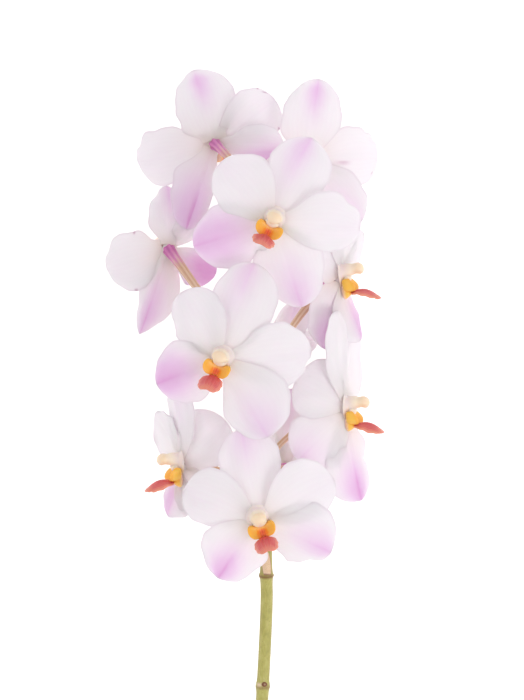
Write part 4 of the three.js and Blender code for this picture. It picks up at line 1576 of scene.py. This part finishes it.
            Tepal("petal_r", PETAL, (39.4, 21, -6), (20.5, 13.5), 0.6, 2, -1, lilac=0.05,
                  dents=((1, 0.1, 1, 0.06),)),
            Tepal("sepal_l", SEPAL, (-21.5, -30.3, -9), (15, 19.5), 0.54, 0.5, -2,
                  lilac=0.7, since=0.45, streak=0.7, crease=0.4,
                  dents=((-1, 0.85, 2.1, 0.12), (1, 0.38, -3, 0.15), (1, 0.9, -0.9, 0.06),
                         (1, 0.72, 0.6, 0.06))),
            Tepal("sepal_r", SEPAL, (37.8, -16.8, -9), (20.5, 13.5), 0.6, 0.5, -2,
                  lilac=0.45, since=0.4, spread=0.4,
                  dents=((-1, 0.79, 3.2, 0.09), (-1, 0.54, -1.2, 0.05), (-1, 0.9, 1, 0.05))),
        ),
        lip_pitch=3,
        phase=3.7,
    ),
    Bloom(
        "hidden_upper", (14.2, 251, 26), (0.35, 0.05, -0.93), (0.28, 0.96, 0), 204, 8,
        (
            Tepal("dorsal", SEPAL, (7.9, 27.3, -6), (9, 9), 0.55, 0, 2, lilac=0.3),
            Tepal("petal_l", PETAL, (-19, 5, -8), (10, 10), 0.6, -3),
            Tepal("petal_r", PETAL, (17.3, 7.4, -6), (6, 6), 0.6, -2),
            Tepal("sepal_l", SEPAL, (-10.5, -24, -6), (9, 9), 0.55, 0, 2, lilac=0.4),
            Tepal("sepal_r", SEPAL, (4, -17, -9), (7, 7), 0.55, 0, 1, lilac=0.4),
        ),
        bend=(-10, -6, 0),
        tan_by=40.0,
        phase=5.5,
    ),
    Bloom(
        "hidden_lower", (15.8, 188.5, 26), (0.15, -0.2, -0.96), (0.1, 0.99, 0), 163, 8,
        (
            Tepal("dorsal", SEPAL, (2.6, 43, -2), (8, 8), 0.6, 0, 2, lilac=0.3),
            Tepal("petal_l", PETAL, (-9.5, 18, -6), (8, 7), 0.6, -2),
            Tepal("petal_r", PETAL, (20, 12, -7), (10, 10), 0.6, -3),
            Tepal("sepal_l", SEPAL, (-12, -20, -6), (9, 9), 0.55, 0, 1, lilac=0.4),
            Tepal("sepal_r", SEPAL, (12, -20, -6), (9, 9), 0.55, 0, 1, lilac=0.4),
        ),
        tan_by=24.0,
        phase=1.7,
    ),
)


# The studio


@dataclass
class Studio:
    """A pale floor, soft lights and the camera that looks straight down."""

    floor_size: float = 6000.0
    aim: Vec = (0, 40, 60)  # what the lamps shine at, from the middle of the spray
    lamps: tuple[tuple[str, Vec, float, float], ...] = (  # name, place, size and watts
        ("key", (1000, -450, 1300), 700, 7.5),
        ("fill", (-1000, 400, 1500), 1600, 4),
    )
    sky: float = 0.69
    camera_height: float = 6000.0
    focus: float = 50.0  # the height at which the photograph's frame is true to size
    sensor: float = 36.0

    def build_floor(self) -> None:
        """Lays the floor under the spray."""
        bpy.ops.object.select_all(action="DESELECT")
        bpy.ops.mesh.primitive_plane_add(size=self.floor_size * MM, location=(0, 0, 0))
        floor = bpy.context.object
        floor.name = "studio_floor"
        bpy.ops.object.transform_apply(location=True, rotation=True, scale=True)
        floor.data.materials.append(StudioBoard().material())

    def build_lights(self) -> None:
        """Hangs the soft square lamps, and sets the pale surroundings."""
        for name, place, size, watts in self.lamps:
            lamp = bpy.data.lights.new(name, "AREA")
            lamp.size = size * MM
            lamp.energy = watts
            holder = bpy.data.objects.new(name, lamp)
            bpy.context.scene.collection.objects.link(holder)
            holder.location = [c * MM for c in place]
            away = np.array(place, float) - self.aim
            tilt = math.acos(away[2] / np.linalg.norm(away))
            holder.rotation_euler = (0.0, tilt, math.atan2(away[1], away[0]))
        world = bpy.data.worlds.new("studio")
        world.use_nodes = True
        white = {"Color": (1.0, 1.0, 1.0, 1.0), "Strength": self.sky}
        feed(world.node_tree.nodes["Background"], white)
        bpy.context.scene.world = world
        bpy.context.scene.view_settings.view_transform = "Standard"

    def build_camera(self) -> None:
        """Sets the camera over the middle of the photograph's frame."""
        middle = [
            (PHOTO_SIZE[0] / 2 - ZERO_PIXEL[0]) * MM_PER_PIXEL,
            (ZERO_PIXEL[1] - PHOTO_SIZE[1] / 2) * MM_PER_PIXEL,
        ]
        tall = PHOTO_SIZE[1] * MM_PER_PIXEL
        lens = bpy.data.cameras.new("camera")
        lens.sensor_fit = "VERTICAL"
        lens.sensor_height = self.sensor
        lens.lens = self.sensor * (self.camera_height - self.focus) / tall
        lens.clip_end = 100.0
        holder = bpy.data.objects.new("camera", lens)
        bpy.context.scene.collection.objects.link(holder)
        holder.location = (
            (middle[0] + STEM_END[0]) * MM,
            (middle[1] + STEM_END[1]) * MM,
            self.camera_height * MM,
        )
        bpy.context.scene.camera = holder


def main() -> None:
    """Builds the spray round its frame, then the studio."""
    logging.basicConfig(level=logging.INFO, format="%(message)s")
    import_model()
    finishes = Finishes()
    stem = Stem()
    stem.build(finishes.stem)
    Bract().build(stem, finishes.bract)
    for bloom in BLOOMS:
        bloom.build(stem, finishes)
    studio = Studio()
    studio.build_floor()
    studio.build_lights()
    studio.build_camera()


if __name__ == "__main__":
    main()
